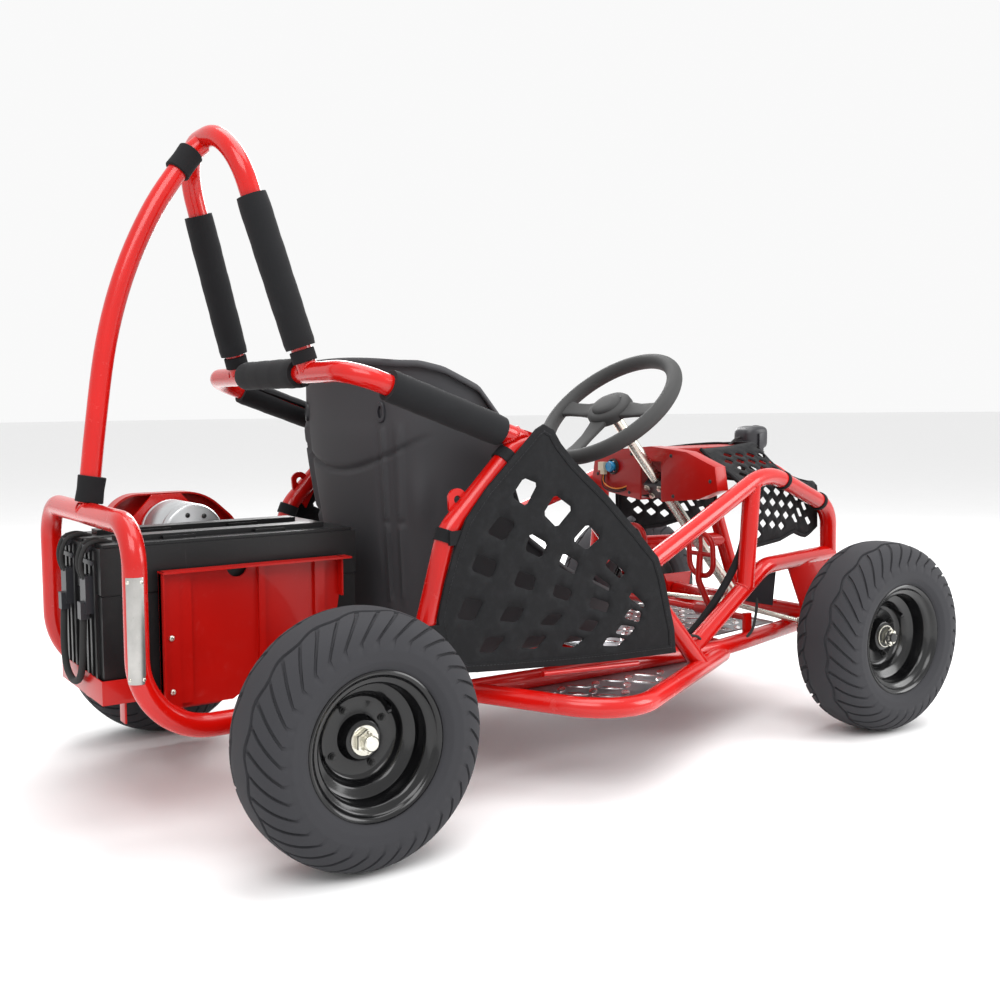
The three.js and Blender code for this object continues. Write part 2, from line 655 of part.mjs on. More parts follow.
// Turns a solid built along -Z from the origin so that it lies on the column axis.
const onColumn = (solid) => solid.rotate([(COLUMN_ANGLE * 180) / Math.PI, 0, 0]).translate(COLUMN_TOP);

function steeringColumn() {
  const shaft = rod(columnPoint(12), columnPoint(COLUMN_LENGTH), COLUMN_R, 12);
  const foot = columnPoint(COLUMN_LENGTH - 6);
  const back = [0, -Math.cos(COLUMN_ANGLE), -Math.sin(COLUMN_ANGLE)];
  const pitmanEnd = foot.map((value, i) => value + back[i] * PITMAN_ARM);
  const arm = rod(foot, pitmanEnd, 6, 8);
  return join(shaft, arm);
}

function steeringWheel() {
  const ringPath = new THREE.EllipseCurve(0, 0, WHEEL_RING_R, WHEEL_RING_R);
  const section = Array.from({ length: 7 }, (unused, i) => {
    const angle = (2 * Math.PI * (i % 6)) / 6;
    return new THREE.Vector2(ringPath.xRadius + 12.5 * Math.cos(angle), 12.5 * Math.sin(angle));
  });
  const ring = toSolid(new THREE.LatheGeometry(section, 28));
  const ringUp = (ring.volume() > 0 ? ring : flip(new THREE.LatheGeometry(section, 28))).rotate([90, 0, 0]);
  const spoke = (angle) => box([-14, 30, -24], [14, WHEEL_RING_R, -16]).rotate([0, 0, angle]);
  const raisedSpoke = (angle) => spoke(angle).translate([0, 0, 14]);
  const hub = rod([0, 0, -11], [0, 0, 8], 46, 20);
  return onColumn(join(ringUp, raisedSpoke(90), raisedSpoke(-90), raisedSpoke(180), hub));
}

piece('steering_column', steeringColumn(), STEEL, 0.35, 0.9);
piece('steering_wheel', steeringWheel(), BLACK, 0.6);

const BLOCK_AT = 196;
function columnBlock() {
  const block = box([-24, -16, -BLOCK_AT - 18], [24, 20, -BLOCK_AT + 18]);
  const bore = rod([0, 0, -BLOCK_AT - 40], [0, 0, -BLOCK_AT + 40], COLUMN_R + GAP, 12);
  return onColumn(cut(block, bore));
}

piece('column_block', columnBlock(), BLACK, 0.5);

// ---------------------------------------------------------------- dash, lamp, pedals

// Channel that runs forward from the dash to the arch: a top strip over two triangular webs.
function dashSpine() {
  const top = box([-40, DASH_Y, 488], [40, 1072, 490.5]);
  const web = prismX([[DASH_Y + 1, 400], [DASH_Y + 30, 400], [1072, 474], [1072, 490], [DASH_Y + 1, 490]], 37.5, 40);
  const window = rod([20, 968, 466], [60, 968, 466], 11, 10);
  const openWeb = cut(web, window);
  return join(top, openWeb, mirrorX(openWeb));
}

const DASH_Y = 836;
const BUTTON = [-103, 452];
function dashPanel() {
  const outline = [
    [-166, 420], [-158, 462], [-90, 486], [0, 494], [90, 486], [158, 462], [166, 420], [120, 402], [30, 392],
    [-30, 392], [-120, 402],
  ];
  const face = prismY(outline, DASH_Y, DASH_Y + 2.5);
  const inner = outline.map(([x, z]) => [x * 0.985, (z - 440) * 0.95 + 440]);
  const rimBand = cut(prismY(outline, DASH_Y, DASH_Y + 26), prismY(inner, DASH_Y - 5, DASH_Y + 40));
  const columnSlot = box([-27, DASH_Y - 30, 388], [27, DASH_Y + 60, 466]);
  const buttonHole = rod([BUTTON[0], DASH_Y - 10, BUTTON[1]], [BUTTON[0], DASH_Y + 10, BUTTON[1]], 11);
  return cut(join(face, rimBand, dashSpine()), columnSlot, buttonHole, frontClearance);
}

function powerButton() {
  const stem = rod([BUTTON[0], DASH_Y - 8, BUTTON[1]], [BUTTON[0], DASH_Y + 22, BUTTON[1]], 10, 16);
  const cap = rod([BUTTON[0], DASH_Y - 13, BUTTON[1]], [BUTTON[0], DASH_Y - 6, BUTTON[1]], 12, 16);
  return join(stem, cap);
}

redPaint('dash_panel', dashPanel());
piece('power_button', powerButton(), 0x1c6f9c, 0.35);

function headlamp() {
  const shell = rod([0, 1078, 504], [0, 1120, 504], 23, 16);
  const foot = box([-14, 1086, 470], [14, 1104, 486]);
  return cut(join(shell, foot), frontClearance);
}

piece('headlamp', headlamp(), BLACK, 0.4);

function pedal(x) {
  const sleeve = rod([x - 34, PEDAL_Y, PEDAL_Z], [x + 34, PEDAL_Y, PEDAL_Z], 11);
  const arm = tube([[x, PEDAL_Y, PEDAL_Z], [x, PEDAL_Y - 34, 250], [x, PEDAL_Y - 30, 300]], 6, [20], 6);
  const post = (dx) => rod([x + dx, PEDAL_Y - 29, 262], [x + dx, PEDAL_Y - 29, 334], 5, 6);
  const bars = [268, 300, 330].map((z) => rod([x - 28, PEDAL_Y - 29, z], [x + 28, PEDAL_Y - 29, z], 5, 6));
  const pinBore = rod([x - 50, PEDAL_Y, PEDAL_Z], [x + 50, PEDAL_Y, PEDAL_Z], PIN_R + GAP);
  return cut(join(sleeve, arm, post(-28), post(28), ...bars), pinBore);
}

redPaint('throttle_pedal', pedal(88));
redPaint('brake_pedal', pedal(-88));

// ---------------------------------------------------------------- seat, pads and nets

function seatShell() {
  const plan = (inset, front) => [
    [-200 + inset, front], [-200 + inset, 228 + inset * 0.5], [-150 + inset * 0.4, 186 + inset],
    [0, 170 + inset], [150 - inset * 0.4, 186 + inset], [200 - inset, 228 + inset * 0.5], [200 - inset, front],
  ];
  const sideOutline = [
    [150, SEAT_BASE_Z - 1], [150, 650], [236, 650], [333, 592], [350, 480], [400, 360], [600, 285], [612, SEAT_BASE_Z - 1],
  ];
  const outer = overlap(prismZ(plan(0, 612), SEAT_BASE_Z, 650), prismX(sideOutline, -210, 210));
  const inner = prismZ(plan(6, 640), SEAT_BASE_Z + 6, 700);
  return cut(outer, inner, lowerFrameClearance);
}

piece('seat_shell', seatShell(), PLASTIC, 0.55);

const between = (a, b, t) => a.map((value, i) => value + (b[i] - value) * t);
const pad = (a, b, t0, t1, ...tubes) => cut(rod(between(a, b, t0), between(a, b, t1), PAD_R, 14), ...tubes);

const legFoot = [123, CROSSBAR[0], CROSSBAR[1]];
const legTop = [92, -40, 968];
const armBack = [ARM_X, CROSSBAR[0], CROSSBAR[1]];
const armFront = [ARM_X, 345, 525];
const rollPad = pad(legFoot, legTop, 0.105, 0.725, rollHoopTube(GAP));
const armPad = pad(armBack, armFront, 0.2, 0.86, shoulderTube(GAP), sideClearance);
sides.forEach(([side, sign]) => {
  piece(`roll_pad_${side}`, onSide(rollPad, sign), BLACK, 0.9);
  piece(`shoulder_pad_${side}`, onSide(armPad, sign), BLACK, 0.9);
});
const crossbarEnd = (sign) => [sign * 200, CROSSBAR[0], CROSSBAR[1]];
piece('crossbar_pad', pad(crossbarEnd(-1), crossbarEnd(1), 0.26, 0.74, shoulderTube(GAP)), BLACK, 0.9);

function diamond(u, v, size) {
  return [[u - size, v], [u, v - size], [u + size, v], [u, v + size]];
}

const NET_OUTLINE = [
  [364, 552], [306, 500], [228, 424], [192, 330], [186, 300], [228, 200], [403, 184], [648, 176], [634, 262],
  [486, 420],
];
function insideOutline(outline, u, v, margin) {
  return outline.every((a, i) => {
    const b = outline[(i + 1) % outline.length];
    const length = Math.hypot(b[0] - a[0], b[1] - a[1]);
    const side = ((b[0] - a[0]) * (v - a[1]) - (b[1] - a[1]) * (u - a[0])) / length;
    return side > margin;
  });
}

function sideNet() {
  const shape = polygon(NET_OUTLINE);
  for (let row = 0; row < 8; row += 1) {
    for (let column = 0; column < 9; column += 1) {
      const u = 216 + column * 60 + (row % 2) * 30;
      const v = 216 + row * 42;
      if (insideOutline(NET_OUTLINE, u, v, 34)) {
        shape.holes.push(new THREE.Path(diamond(u, v, 16).map((point) => new THREE.Vector2(...point))));
      }
    }
  }
  const geometry = new THREE.ExtrudeGeometry(shape, { depth: 3, bevelEnabled: false });
  geometry.applyMatrix4(new THREE.Matrix4().set(0, 0, 1, 273, 1, 0, 0, 0, 0, 1, 0, 0, 0, 0, 0, 1));
  return toSolid(geometry);
}

sides.forEach(([side, sign]) => piece(`side_net_${side}`, onSide(sideNet(), sign), BLACK, 0.9));

// Net cover: a ridged roof over the dash channel and the arch, with a side curtain in each frame.
function hoodNet() {
  const roof = (inset) => [
    [-176 + inset, 280], [-176 + inset, 416], [-50, 497 - inset], [50, 497 - inset], [176 - inset, 416], [176 - inset, 280],
  ];
  const plan = (inset, back, front) => [
    [-172 + inset, back], [-128 + inset, front], [128 - inset, front], [172 - inset, back],
  ];
  const outerSide = [[905, 304], [905, 500], [1066, 500], [1142, 416], [1142, 304]];
  const innerSide = [[880, 270], [880, 500], [1064, 500], [1160, 394], [1160, 270]];
  const outer = overlap(
    overlap(prismY(roof(0), 905, 1140), prismZ(plan(0, 905, 1140), 300, 500)), prismX(outerSide, -200, 200),
  );
  const inner = overlap(
    overlap(prismY(roof(3), 880, 1160), prismZ(plan(3, 880, 1165), 280, 500)), prismX(innerSide, -200, 200),
  );
  const holes = [];
  for (let row = 0; row < 2; row += 1) {
    for (let column = 0; column < 3; column += 1) {
      const y = 934 + column * 50 + (row % 2) * 25;
      holes.push(prismX(diamond(y, 340 + row * 32, 16), -220, 220));
      const x = 72 + row * 32;
      holes.push(prismZ(diamond(x, y, 14), 400, 520), prismZ(diamond(-x, y, 14), 400, 520));
    }
  }
  const lampWell = box([-40, 1060, 440], [40, 1160, 540]);
  return cut(outer, inner, ...holes, lampWell, frontClearance);
}

piece('hood_net', hoodNet(), BLACK, 0.9);

export default kart;
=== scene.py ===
"""Looks of an off-road kart chassis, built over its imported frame."""

from __future__ import annotations

import json
import logging
import math
from dataclasses import dataclass
from enum import Enum
from functools import cache
from typing import Callable, Sequence

import bmesh
import bpy
from mathutils import Matrix, Vector
from mathutils.geometry import delaunay_2d_cdt

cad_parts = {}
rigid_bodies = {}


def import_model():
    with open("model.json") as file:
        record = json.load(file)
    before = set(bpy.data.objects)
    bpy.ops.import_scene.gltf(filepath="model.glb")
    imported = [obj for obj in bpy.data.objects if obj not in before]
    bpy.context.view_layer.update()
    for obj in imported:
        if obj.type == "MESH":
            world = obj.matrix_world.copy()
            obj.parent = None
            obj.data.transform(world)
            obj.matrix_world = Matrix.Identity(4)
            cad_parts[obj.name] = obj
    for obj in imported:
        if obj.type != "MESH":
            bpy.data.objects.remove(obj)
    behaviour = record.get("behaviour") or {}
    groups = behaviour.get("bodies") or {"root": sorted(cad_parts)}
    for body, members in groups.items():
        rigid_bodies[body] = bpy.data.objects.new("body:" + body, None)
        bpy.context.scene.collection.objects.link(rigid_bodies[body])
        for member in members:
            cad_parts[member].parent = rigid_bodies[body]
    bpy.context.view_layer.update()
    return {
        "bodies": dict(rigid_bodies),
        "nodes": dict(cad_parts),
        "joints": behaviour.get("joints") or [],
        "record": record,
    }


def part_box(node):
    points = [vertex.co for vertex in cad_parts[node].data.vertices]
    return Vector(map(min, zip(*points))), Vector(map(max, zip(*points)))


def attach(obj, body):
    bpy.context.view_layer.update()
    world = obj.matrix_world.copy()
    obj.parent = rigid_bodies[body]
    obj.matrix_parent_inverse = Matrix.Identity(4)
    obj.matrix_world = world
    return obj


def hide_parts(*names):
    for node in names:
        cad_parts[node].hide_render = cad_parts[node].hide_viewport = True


log = logging.getLogger("kart")

Point = Sequence[float]
Rgb = tuple[float, float, float]
MM = 0.001
SIDES = (("right", 1.0), ("left", -1.0))

# Sizes of the kart, in millimetres.
WHEELBASE = 1071.0
AXLE_HEIGHT = 165.0
REAR_WHEEL_X = 366.0
FRONT_WHEEL_X = 318.0
REAR_BORE = 10.2
FRONT_BORE = 8.3
PEDAL_X = 88.0

# A bevel too narrow to see, in millimetres, which only evens the shading across an edge.
HAIRLINE = 0.005

# Gap below which the points of two tread pitches are one, in metres.
WELD_DISTANCE = 0.00005


# ---------------------------------------------------------------- node boards


class Wire:
    """A node socket that can stand in a Python sum."""

    def __init__(self, board: Board, socket: bpy.types.NodeSocket) -> None:
        """Keeps the socket and the board it is on."""
        self.board = board
        self.socket = socket

    def __add__(self, other: Wire | float) -> Wire:
        """Sum."""
        return self.board.math("ADD", self, other)

    __radd__ = __add__

    def __sub__(self, other: Wire | float) -> Wire:
        """Difference."""
        return self.board.math("SUBTRACT", self, other)

    def __rsub__(self, other: float) -> Wire:
        """Difference from a number."""
        return self.board.math("SUBTRACT", other, self)

    def __mul__(self, other: Wire | float) -> Wire:
        """Product."""
        return self.board.math("MULTIPLY", self, other)

    __rmul__ = __mul__

    def __truediv__(self, other: Wire | float) -> Wire:
        """Quotient."""
        return self.board.math("DIVIDE", self, other)

    def __rtruediv__(self, other: float) -> Wire:
        """Quotient of a number."""
        return self.board.math("DIVIDE", other, self)

    def __pow__(self, other: float) -> Wire:
        """Power."""
        return self.board.math("POWER", self, other)

    def step(self, low: float, high: float) -> Wire:
        """Zero below low, one above high, and smooth between."""
        return self.board.out(
            self.board.node(
                "ShaderNodeMapRange",
                {0: self, 1: low, 2: high, 3: 0.0, 4: 1.0},
                interpolation_type="SMOOTHSTEP",
            )
        )


class Board:
    """A node tree under construction, for a shader or for geometry."""

    def __init__(self, tree: bpy.types.NodeTree) -> None:
        """Keeps the tree."""
        self.tree = tree

    def node(self, kind: str, inputs: dict | None = None, **settings: object) -> bpy.types.Node:
        """Adds one node.

        Args:
            kind: The node's type name.
            inputs: A number, colour or wire for each input, by its name or index.
            settings: The node's own properties.

        Returns:
            The new node.
        """
        made = self.tree.nodes.new(kind)
        for name, value in settings.items():
            setattr(made, name, value)
        for key, value in (inputs or {}).items():
            socket = made.inputs[key]
            if isinstance(value, Wire):
                self.tree.links.new(value.socket, socket)
            else:
                socket.default_value = value
        return made

    def out(self, node: bpy.types.Node, key: int | str = 0) -> Wire:
        """Wire from one of a node's outputs."""
        return Wire(self, node.outputs[key])

    def math(self, operation: str, a: Wire | float, b: Wire | float = 0.0) -> Wire:
        """Wire with the result of one Math node."""
        return self.out(self.node("ShaderNodeMath", {0: a, 1: b}, operation=operation))

    def vector(self, operation: str, a: Wire | Point, b: Wire | Point = (0, 0, 0)) -> Wire:
        """Wire with the result of one Vector Math node."""
        return self.out(self.node("ShaderNodeVectorMath", {0: a, 1: b}, operation=operation))

    def mix(self, amount: Wire | float, a: Wire | Rgb, b: Wire | Rgb) -> Wire:
        """Wire with a colour between two others."""
        full = [c if isinstance(c, Wire) else (*c, 1.0) for c in (a, b)]
        made = self.node("ShaderNodeMix", {0: amount, 6: full[0], 7: full[1]}, data_type="RGBA")
        return self.out(made, 2)

    def noise(self, where: Wire, scale: float, detail: float = 4.0, rough: float = 0.55) -> Wire:
        """Wire with a noise value around one half."""
        inputs = {"Vector": where, "Scale": scale, "Detail": detail, "Roughness": rough}
        return self.out(self.node("ShaderNodeTexNoise", inputs), 0)

    def cells(self, where: Wire, scale: float, feature: str = "F1") -> Wire:
        """Wire with the distance to the nearest of many scattered points."""
        inputs = {"Vector": where, "Scale": scale}
        return self.out(self.node("ShaderNodeTexVoronoi", inputs, feature=feature), 0)


# ---------------------------------------------------------------- finishes


@dataclass
class Coat:
    """What a finish hands to its shader: wires that vary over the surface."""

    colour: Wire
    roughness: Wire
    height: Wire
    depth: float


@dataclass(frozen=True)
class Finish:
    """A finish with its constant values and its own surface pattern."""

    name: str
    slot: str
    colour: Rgb
    roughness: float
    metallic: float = 0.0
    gloss_coat: float = 0.0
    sheen: float = 0.0
    grain: float = 700.0
    grain_depth: float = 0.05
    mottle: float = 0.18
    specular: float = 0.5
    coat_roughness: float = 0.06

    def shade(self, board: Board, where: Wire) -> Coat:
        """Moulded or cast surface: broad patches and a fine grain.

        Args:
            board: The material's board.
            where: The place on the piece.

        Returns:
            The wires of the surface.
        """
        patch = board.noise(where, 9.0, 5.0)
        fine = board.noise(where, self.grain, 2.0)
        dark = tuple(c * (1 - self.mottle) for c in self.colour)
        light = tuple(min(1.0, c * (1 + self.mottle) + 0.002) for c in self.colour)
        colour = board.mix(patch.step(0.35, 0.65), dark, light)
        rough = self.roughness + (patch - 0.5) * 0.18 + (fine - 0.5) * 0.1
        return Coat(colour, rough, fine, self.grain_depth)

    def make(self) -> bpy.types.Material:
        """The finish as a material, made once."""
        known = bpy.data.materials.get(self.name)
        if known is not None:
            return known
        material = bpy.data.materials.new(self.name)
        material.use_nodes = True
        board = Board(material.node_tree)
        shader = material.node_tree.nodes["Principled BSDF"]
        where = board.out(board.node("ShaderNodeTexCoord"), "Object")
        coat = self.shade(board, where)
        bump = board.node(
            "ShaderNodeBump",
            {"Strength": 0.6, "Distance": coat.depth * MM, "Height": coat.height},
        )
        for key, wire in (
            ("Base Color", coat.colour),
            ("Roughness", coat.roughness),
            ("Normal", board.out(bump)),
        ):
            material.node_tree.links.new(wire.socket, shader.inputs[key])
        shader.inputs["Metallic"].default_value = self.metallic
        shader.inputs["Coat Weight"].default_value = self.gloss_coat
        shader.inputs["Coat Roughness"].default_value = self.coat_roughness
        shader.inputs["Specular IOR Level"].default_value = self.specular
        shader.inputs["Sheen Weight"].default_value = self.sheen
        shader.inputs["Sheen Roughness"].default_value = 0.5
        material.diffuse_color = (*self.colour, 1.0)
        return material


@dataclass(frozen=True)
class PowderCoat(Finish):
    """Glossy baked paint with a faint orange peel and road dust."""

    def shade(self, board: Board, where: Wire) -> Coat:
        """Paint: slow ripples, slight fading and dust that dulls the gloss."""
        peel = board.noise(where, 240.0, 2.0, 0.5)
        fade = board.noise(where, 5.0, 3.0)
        dust = board.noise(where, 46.0, 8.0, 0.7).step(0.58, 0.78)
        chips = board.cells(where, 85.0).step(0.05, 0.035)
        rare = board.noise(where, 17.0, 2.0).step(0.62, 0.7)
        deep = tuple(c * 0.82 for c in self.colour)
        paint = board.mix(fade.step(0.3, 0.7), deep, self.colour)
        dusty = board.mix(dust * 0.05, paint, (0.5, 0.42, 0.38))
        worn = board.mix(chips * rare * 0.6, dusty, (0.25, 0.05, 0.04))
        rough = self.roughness + dust * 0.16 + (fade - 0.5) * 0.06
        return Coat(worn, rough, peel - chips * rare * 0.5, self.grain_depth)


@dataclass(frozen=True)
class Foam(Finish):
    """Closed-cell foam: a matt skin with small pores and rubbed lighter patches."""

    def shade(self, board: Board, where: Wire) -> Coat:
        """Foam: pores with painted shade in them, shallow dents and chalky rubbing."""
        pores = board.cells(where, 620.0)
        dents = board.noise(where, 60.0, 4.0)
        rub = board.noise(where, 24.0, 6.0, 0.65).step(0.52, 0.75)
        skin = board.mix(rub * 0.5, self.colour, tuple(c * 2.1 + 0.004 for c in self.colour))
        # Painted shade: the middle of each pore is painted darker, as shade in the hollow.
        colour = board.mix(pores.step(0.22, 0.05), skin, tuple(c * 0.5 for c in self.colour))
        return Coat(colour, 0.86 + rub * 0.1, pores * 0.5 + dents, self.grain_depth)


@dataclass(frozen=True)
class TyreRubber(Finish):
    """Tread rubber, dusty on the running face and in its grooves."""

    def shade(self, board: Board, where: Wire) -> Coat:
        """Rubber: scuffs, fine pitting and pale dust."""
        pits = board.noise(where, 520.0, 3.0, 0.6)
        scuff = board.noise(where, 28.0, 7.0, 0.68)
        dust = scuff.step(0.5, 0.78)
        bloom = board.noise(where, 7.0, 3.0).step(0.35, 0.7)
        rubber = board.mix(bloom * 0.6, self.colour, tuple(c * 1.5 for c in self.colour))
        colour = board.mix(dust * 0.22, rubber, (0.04, 0.038, 0.036))
        rough = self.roughness + dust * 0.16 - bloom * 0.05
        return Coat(colour, rough, pits + scuff * 1.6, self.grain_depth)


@dataclass(frozen=True)
class Webbing(Finish):
    """Woven webbing: over-and-under threads with a faint fuzz."""

    thread: float = 0.0016

    def shade(self, board: Board, where: Wire) -> Coat:
        """Cloth: two sets of crossing threads with painted shade in their hollows, slubs and lint."""
        parts = board.node("ShaderNodeSeparateXYZ", {0: where})
        turn = math.tau / self.thread
        warp = board.math("SINE", board.out(parts, 1) * turn)
        weft = board.math("SINE", (board.out(parts, 2) + board.out(parts, 0)) * turn)
        weave = warp * weft
        slub = board.noise(where, 70.0, 5.0, 0.7)
        lint = board.noise(where, 420.0, 2.0).step(0.66, 0.8)
        pale = tuple(c * 1.9 + 0.003 for c in self.colour)
        cloth = board.mix(slub.step(0.4, 0.72) * 0.7, self.colour, pale)
        # Painted shade: the colour darkens where the crossing threads dip lowest, in the hollows of the weave.
        colour = board.mix(weave.step(0.2, -0.6) * 0.35, cloth, tuple(c * 0.4 for c in self.colour))
        linted = board.mix(lint * 0.08, colour, (0.12, 0.12, 0.126))
        return Coat(linted, self.roughness + (slub - 0.5) * 0.15, weave * 0.5 + slub, self.grain_depth)


@dataclass(frozen=True)
class BareMetal(Finish):
    """Plated or milled metal: fine brushing, stains and darker patches."""

    stain: Rgb = (0.2, 0.17, 0.12)
    brushing: tuple[float, float, float] = (1.0, 1.0, 14.0)

    def shade(self, board: Board, where: Wire) -> Coat:
        """Metal: streaks along one way, with cloudy plating."""
        along = board.vector("MULTIPLY", where, self.brushing)
        streaks = board.noise(along, 160.0, 4.0, 0.6)
        cloud = board.noise(where, 26.0, 5.0, 0.6)
        spots = board.noise(where, 210.0, 3.0, 0.7).step(0.64, 0.76)
        clean = board.mix(cloud.step(0.3, 0.7), tuple(c * 0.78 for c in self.colour), self.colour)
        colour = board.mix(spots * 0.45, clean, self.stain)
        rough = self.roughness + (cloud - 0.5) * 0.2 + spots * 0.2 + (streaks - 0.5) * 0.12
        return Coat(colour, rough, streaks + cloud * 0.4, self.grain_depth)


@dataclass(frozen=True)
class GritPlastic(Finish):
    """Moulded plastic with a leathery spark-eroded grain."""

    def shade(self, board: Board, where: Wire) -> Coat:
        """Plastic: pebble grain, flow marks, light scratches and dust."""
        pebble = board.cells(where, self.grain)
        flow = board.noise(where, 6.0, 4.0)
        long = board.vector("MULTIPLY", where, (1.0, 1.0, 0.07))
        scratch = board.noise(long, 330.0, 2.0).step(0.68, 0.78)
        dust = board.noise(where, 33.0, 7.0, 0.7).step(0.55, 0.8)
        base = board.mix(flow.step(0.3, 0.7), self.colour, tuple(c * 1.35 for c in self.colour))
        scuffed = board.mix(scratch * 0.1, base, (0.09, 0.09, 0.095))
        colour = board.mix(dust * 0.06, scuffed, (0.1, 0.097, 0.094))
        rough = self.roughness + dust * 0.18 + (flow - 0.5) * 0.14 + scratch * 0.1
        return Coat(colour, rough, pebble + flow * 0.6 - scratch * 0.5, self.grain_depth)


class Paint(Enum):
    """Every finish on the kart."""

    RED = PowderCoat("red_powder_coat", "frame_red", (0.56, 0.003, 0.001), 0.24, gloss_coat=0.35, grain_depth=0.05,
                     specular=0.35)
    SHEET_RED = PowderCoat("red_sheet_paint", "sheet_red", (0.42, 0.003, 0.001), 0.34, gloss_coat=0.15,
                           grain_depth=0.06, specular=0.3)
    FOAM = Foam("pad_foam", "foam", (0.0085, 0.0088, 0.0100), 0.9, sheen=0.04, grain_depth=0.35, specular=0.25)
    COLLAR = Foam("collar_rubber", "grip_rubber", (0.006, 0.006, 0.007), 0.7, grain_depth=0.15, specular=0.3)
    SEAT = GritPlastic("seat_plastic", "seat_plastic", (0.0038, 0.0040, 0.0049), 0.34, grain=480.0, grain_depth=0.12,
                       specular=0.32)
    CASE = GritPlastic("case_plastic", "battery_plastic", (0.006, 0.006, 0.0065), 0.34, grain=520.0, grain_depth=0.1,
                       specular=0.36)
    BLACK = GritPlastic("black_plastic", "black_plastic", (0.006, 0.006, 0.0065), 0.36, grain=800.0, grain_depth=0.06,
                        specular=0.35)
    WHEEL = GritPlastic("wheel_grip", "wheel_grip", (0.0028, 0.0029, 0.0035), 0.46, grain=900.0, grain_depth=0.14,
                        specular=0.16)
    TYRE = TyreRubber("tyre_rubber", "tyre_rubber", (0.0042, 0.0043, 0.0049), 0.55, grain_depth=0.22, specular=0.2)
    RIM = Finish("rim_gloss_black", "rim_black", (0.0035, 0.0035, 0.004), 0.22, gloss_coat=0.35, grain_depth=0.02,
                 specular=0.3, coat_roughness=0.12)
    BLACK_METAL = Finish("black_metal", "black_metal", (0.012, 0.012, 0.0125), 0.38, metallic=0.3, grain_depth=0.08,
                         specular=0.35)
    ZINC = BareMetal("zinc_plate", "zinc_steel", (0.72, 0.7, 0.62), 0.27, metallic=1.0, grain_depth=0.05)
    CHAIN = BareMetal("chain_steel", "chain_steel", (0.3, 0.28, 0.25), 0.38, metallic=1.0, grain_depth=0.08)
    ALLOY = BareMetal("motor_alloy", "motor_alloy", (0.66, 0.67, 0.68), 0.3, metallic=1.0, grain_depth=0.06)
    # Painted light: the plate and its lozenges are one metal; the plate is painted dark as painted shade and the
    # lozenges bright as a painted highlight.
    TREAD_PAINTED_SHADE = BareMetal(
        "tread_plate_painted_shade", "checker_plate", (0.30, 0.31, 0.33), 0.36, metallic=1.0, grain_depth=0.06,
        stain=(0.14, 0.14, 0.14), brushing=(1.0, 10.0, 1.0),
    )
    LOZENGE_PAINTED_HIGHLIGHT = BareMetal("tread_lozenges_painted_highlight", "checker_plate", (0.9, 0.9, 0.91), 0.2, metallic=1.0, grain_depth=0.03,
                        stain=(0.5, 0.5, 0.5))
    NET = Webbing("net_webbing", "net_fabric", (0.0062, 0.0064, 0.0074), 0.8, sheen=0.02, grain_depth=0.3,
                  specular=0.22)
    STITCH = Webbing("net_thread", "net_fabric", (0.018, 0.018, 0.020), 0.7, sheen=0.06, grain_depth=0.2, specular=0.25)
    CABLE = Finish("cable_black", "cable_black", (0.006, 0.006, 0.0065), 0.4, grain_depth=0.04, specular=0.35)
    BLUE = Finish("button_blue", "button_blue", (0.01, 0.16, 0.3), 0.22, gloss_coat=0.6, grain_depth=0.02)
    PACK = Finish("cell_wrap", "cell_pack", (0.035, 0.045, 0.06), 0.35, grain_depth=0.1)
    CREAM = Finish("cream_plastic", "black_plastic", (0.62, 0.56, 0.42), 0.4, grain_depth=0.04)
    AMBER = Finish("amber_lead", "cable_black", (0.75, 0.22, 0.02), 0.4, grain_depth=0.04)
    LENS = Finish("lamp_lens", "black_plastic", (0.55, 0.56, 0.58), 0.12, gloss_coat=1.0, grain_depth=0.03)
    LABEL = BareMetal("data_plate", "zinc_steel", (0.5, 0.49, 0.47), 0.34, metallic=0.9, grain_depth=0.05)


# ---------------------------------------------------------------- the works


@dataclass
class Works:
    """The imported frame, and the place of the drawing's origin in it."""

    frame: dict
    axle_y: float

    def settle(self, mesh: bpy.types.Mesh) -> None:
        """Turns a mesh from the drawing's millimetres into the frame's metres."""
        mesh.transform(Matrix.Translation((0, self.axle_y, 0)) @ Matrix.Scale(MM, 4))

    def place(self, point: Point) -> Vector:
        """A point of the drawing, in the frame's metres."""
        return Vector((point[0] * MM, point[1] * MM + self.axle_y, point[2] * MM))

    def fit(self, piece: bpy.types.Object, body: str, paint: Paint, *stands_for: str) -> bpy.types.Object:
        """Puts a finished piece on a body.

        Args:
            piece: The piece.
            body: The body that it moves with.
            paint: Not used.
            stands_for: The frame's nodes that it replaces.

        Returns:
            The piece.
        """
        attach(piece, body)
        if stands_for:
            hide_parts(*stands_for)
        log.info("%s rides on %s with %d faces", piece.name, body, len(piece.data.polygons))
        return piece

    def add(
        self, form: Form, name: str, paint: Paint, *stands_for: str, body: str = "chassis", sharp: float = 35.0
    ) -> bpy.types.Object:
        """Ends a form as a piece and puts it on a body."""
        return self.fit(form.piece(name, self, paint, sharp), body, paint, *stands_for)

    def dress(self, node: str, paint: Paint) -> None:
        """Gives one of the frame's own nodes a finish."""
        found = self.frame["nodes"][node]
        for slot in found.material_slots:
            slot.material = paint.value.make()
        log.info("%s keeps its own shape", node)


def as_object(name: str, mesh: bpy.types.Mesh, paint: Paint | None = None) -> bpy.types.Object:
    """Puts a mesh in the scene.

    Args:
        name: The object's name.
        mesh: Its mesh.
        paint: Its finish, if it has one yet.

    Returns:
        The new object.
    """
    made = bpy.data.objects.new(name, mesh)
    bpy.context.scene.collection.objects.link(made)
    if paint is not None:
        mesh.materials.clear()
        mesh.materials.append(paint.value.make())
    return made


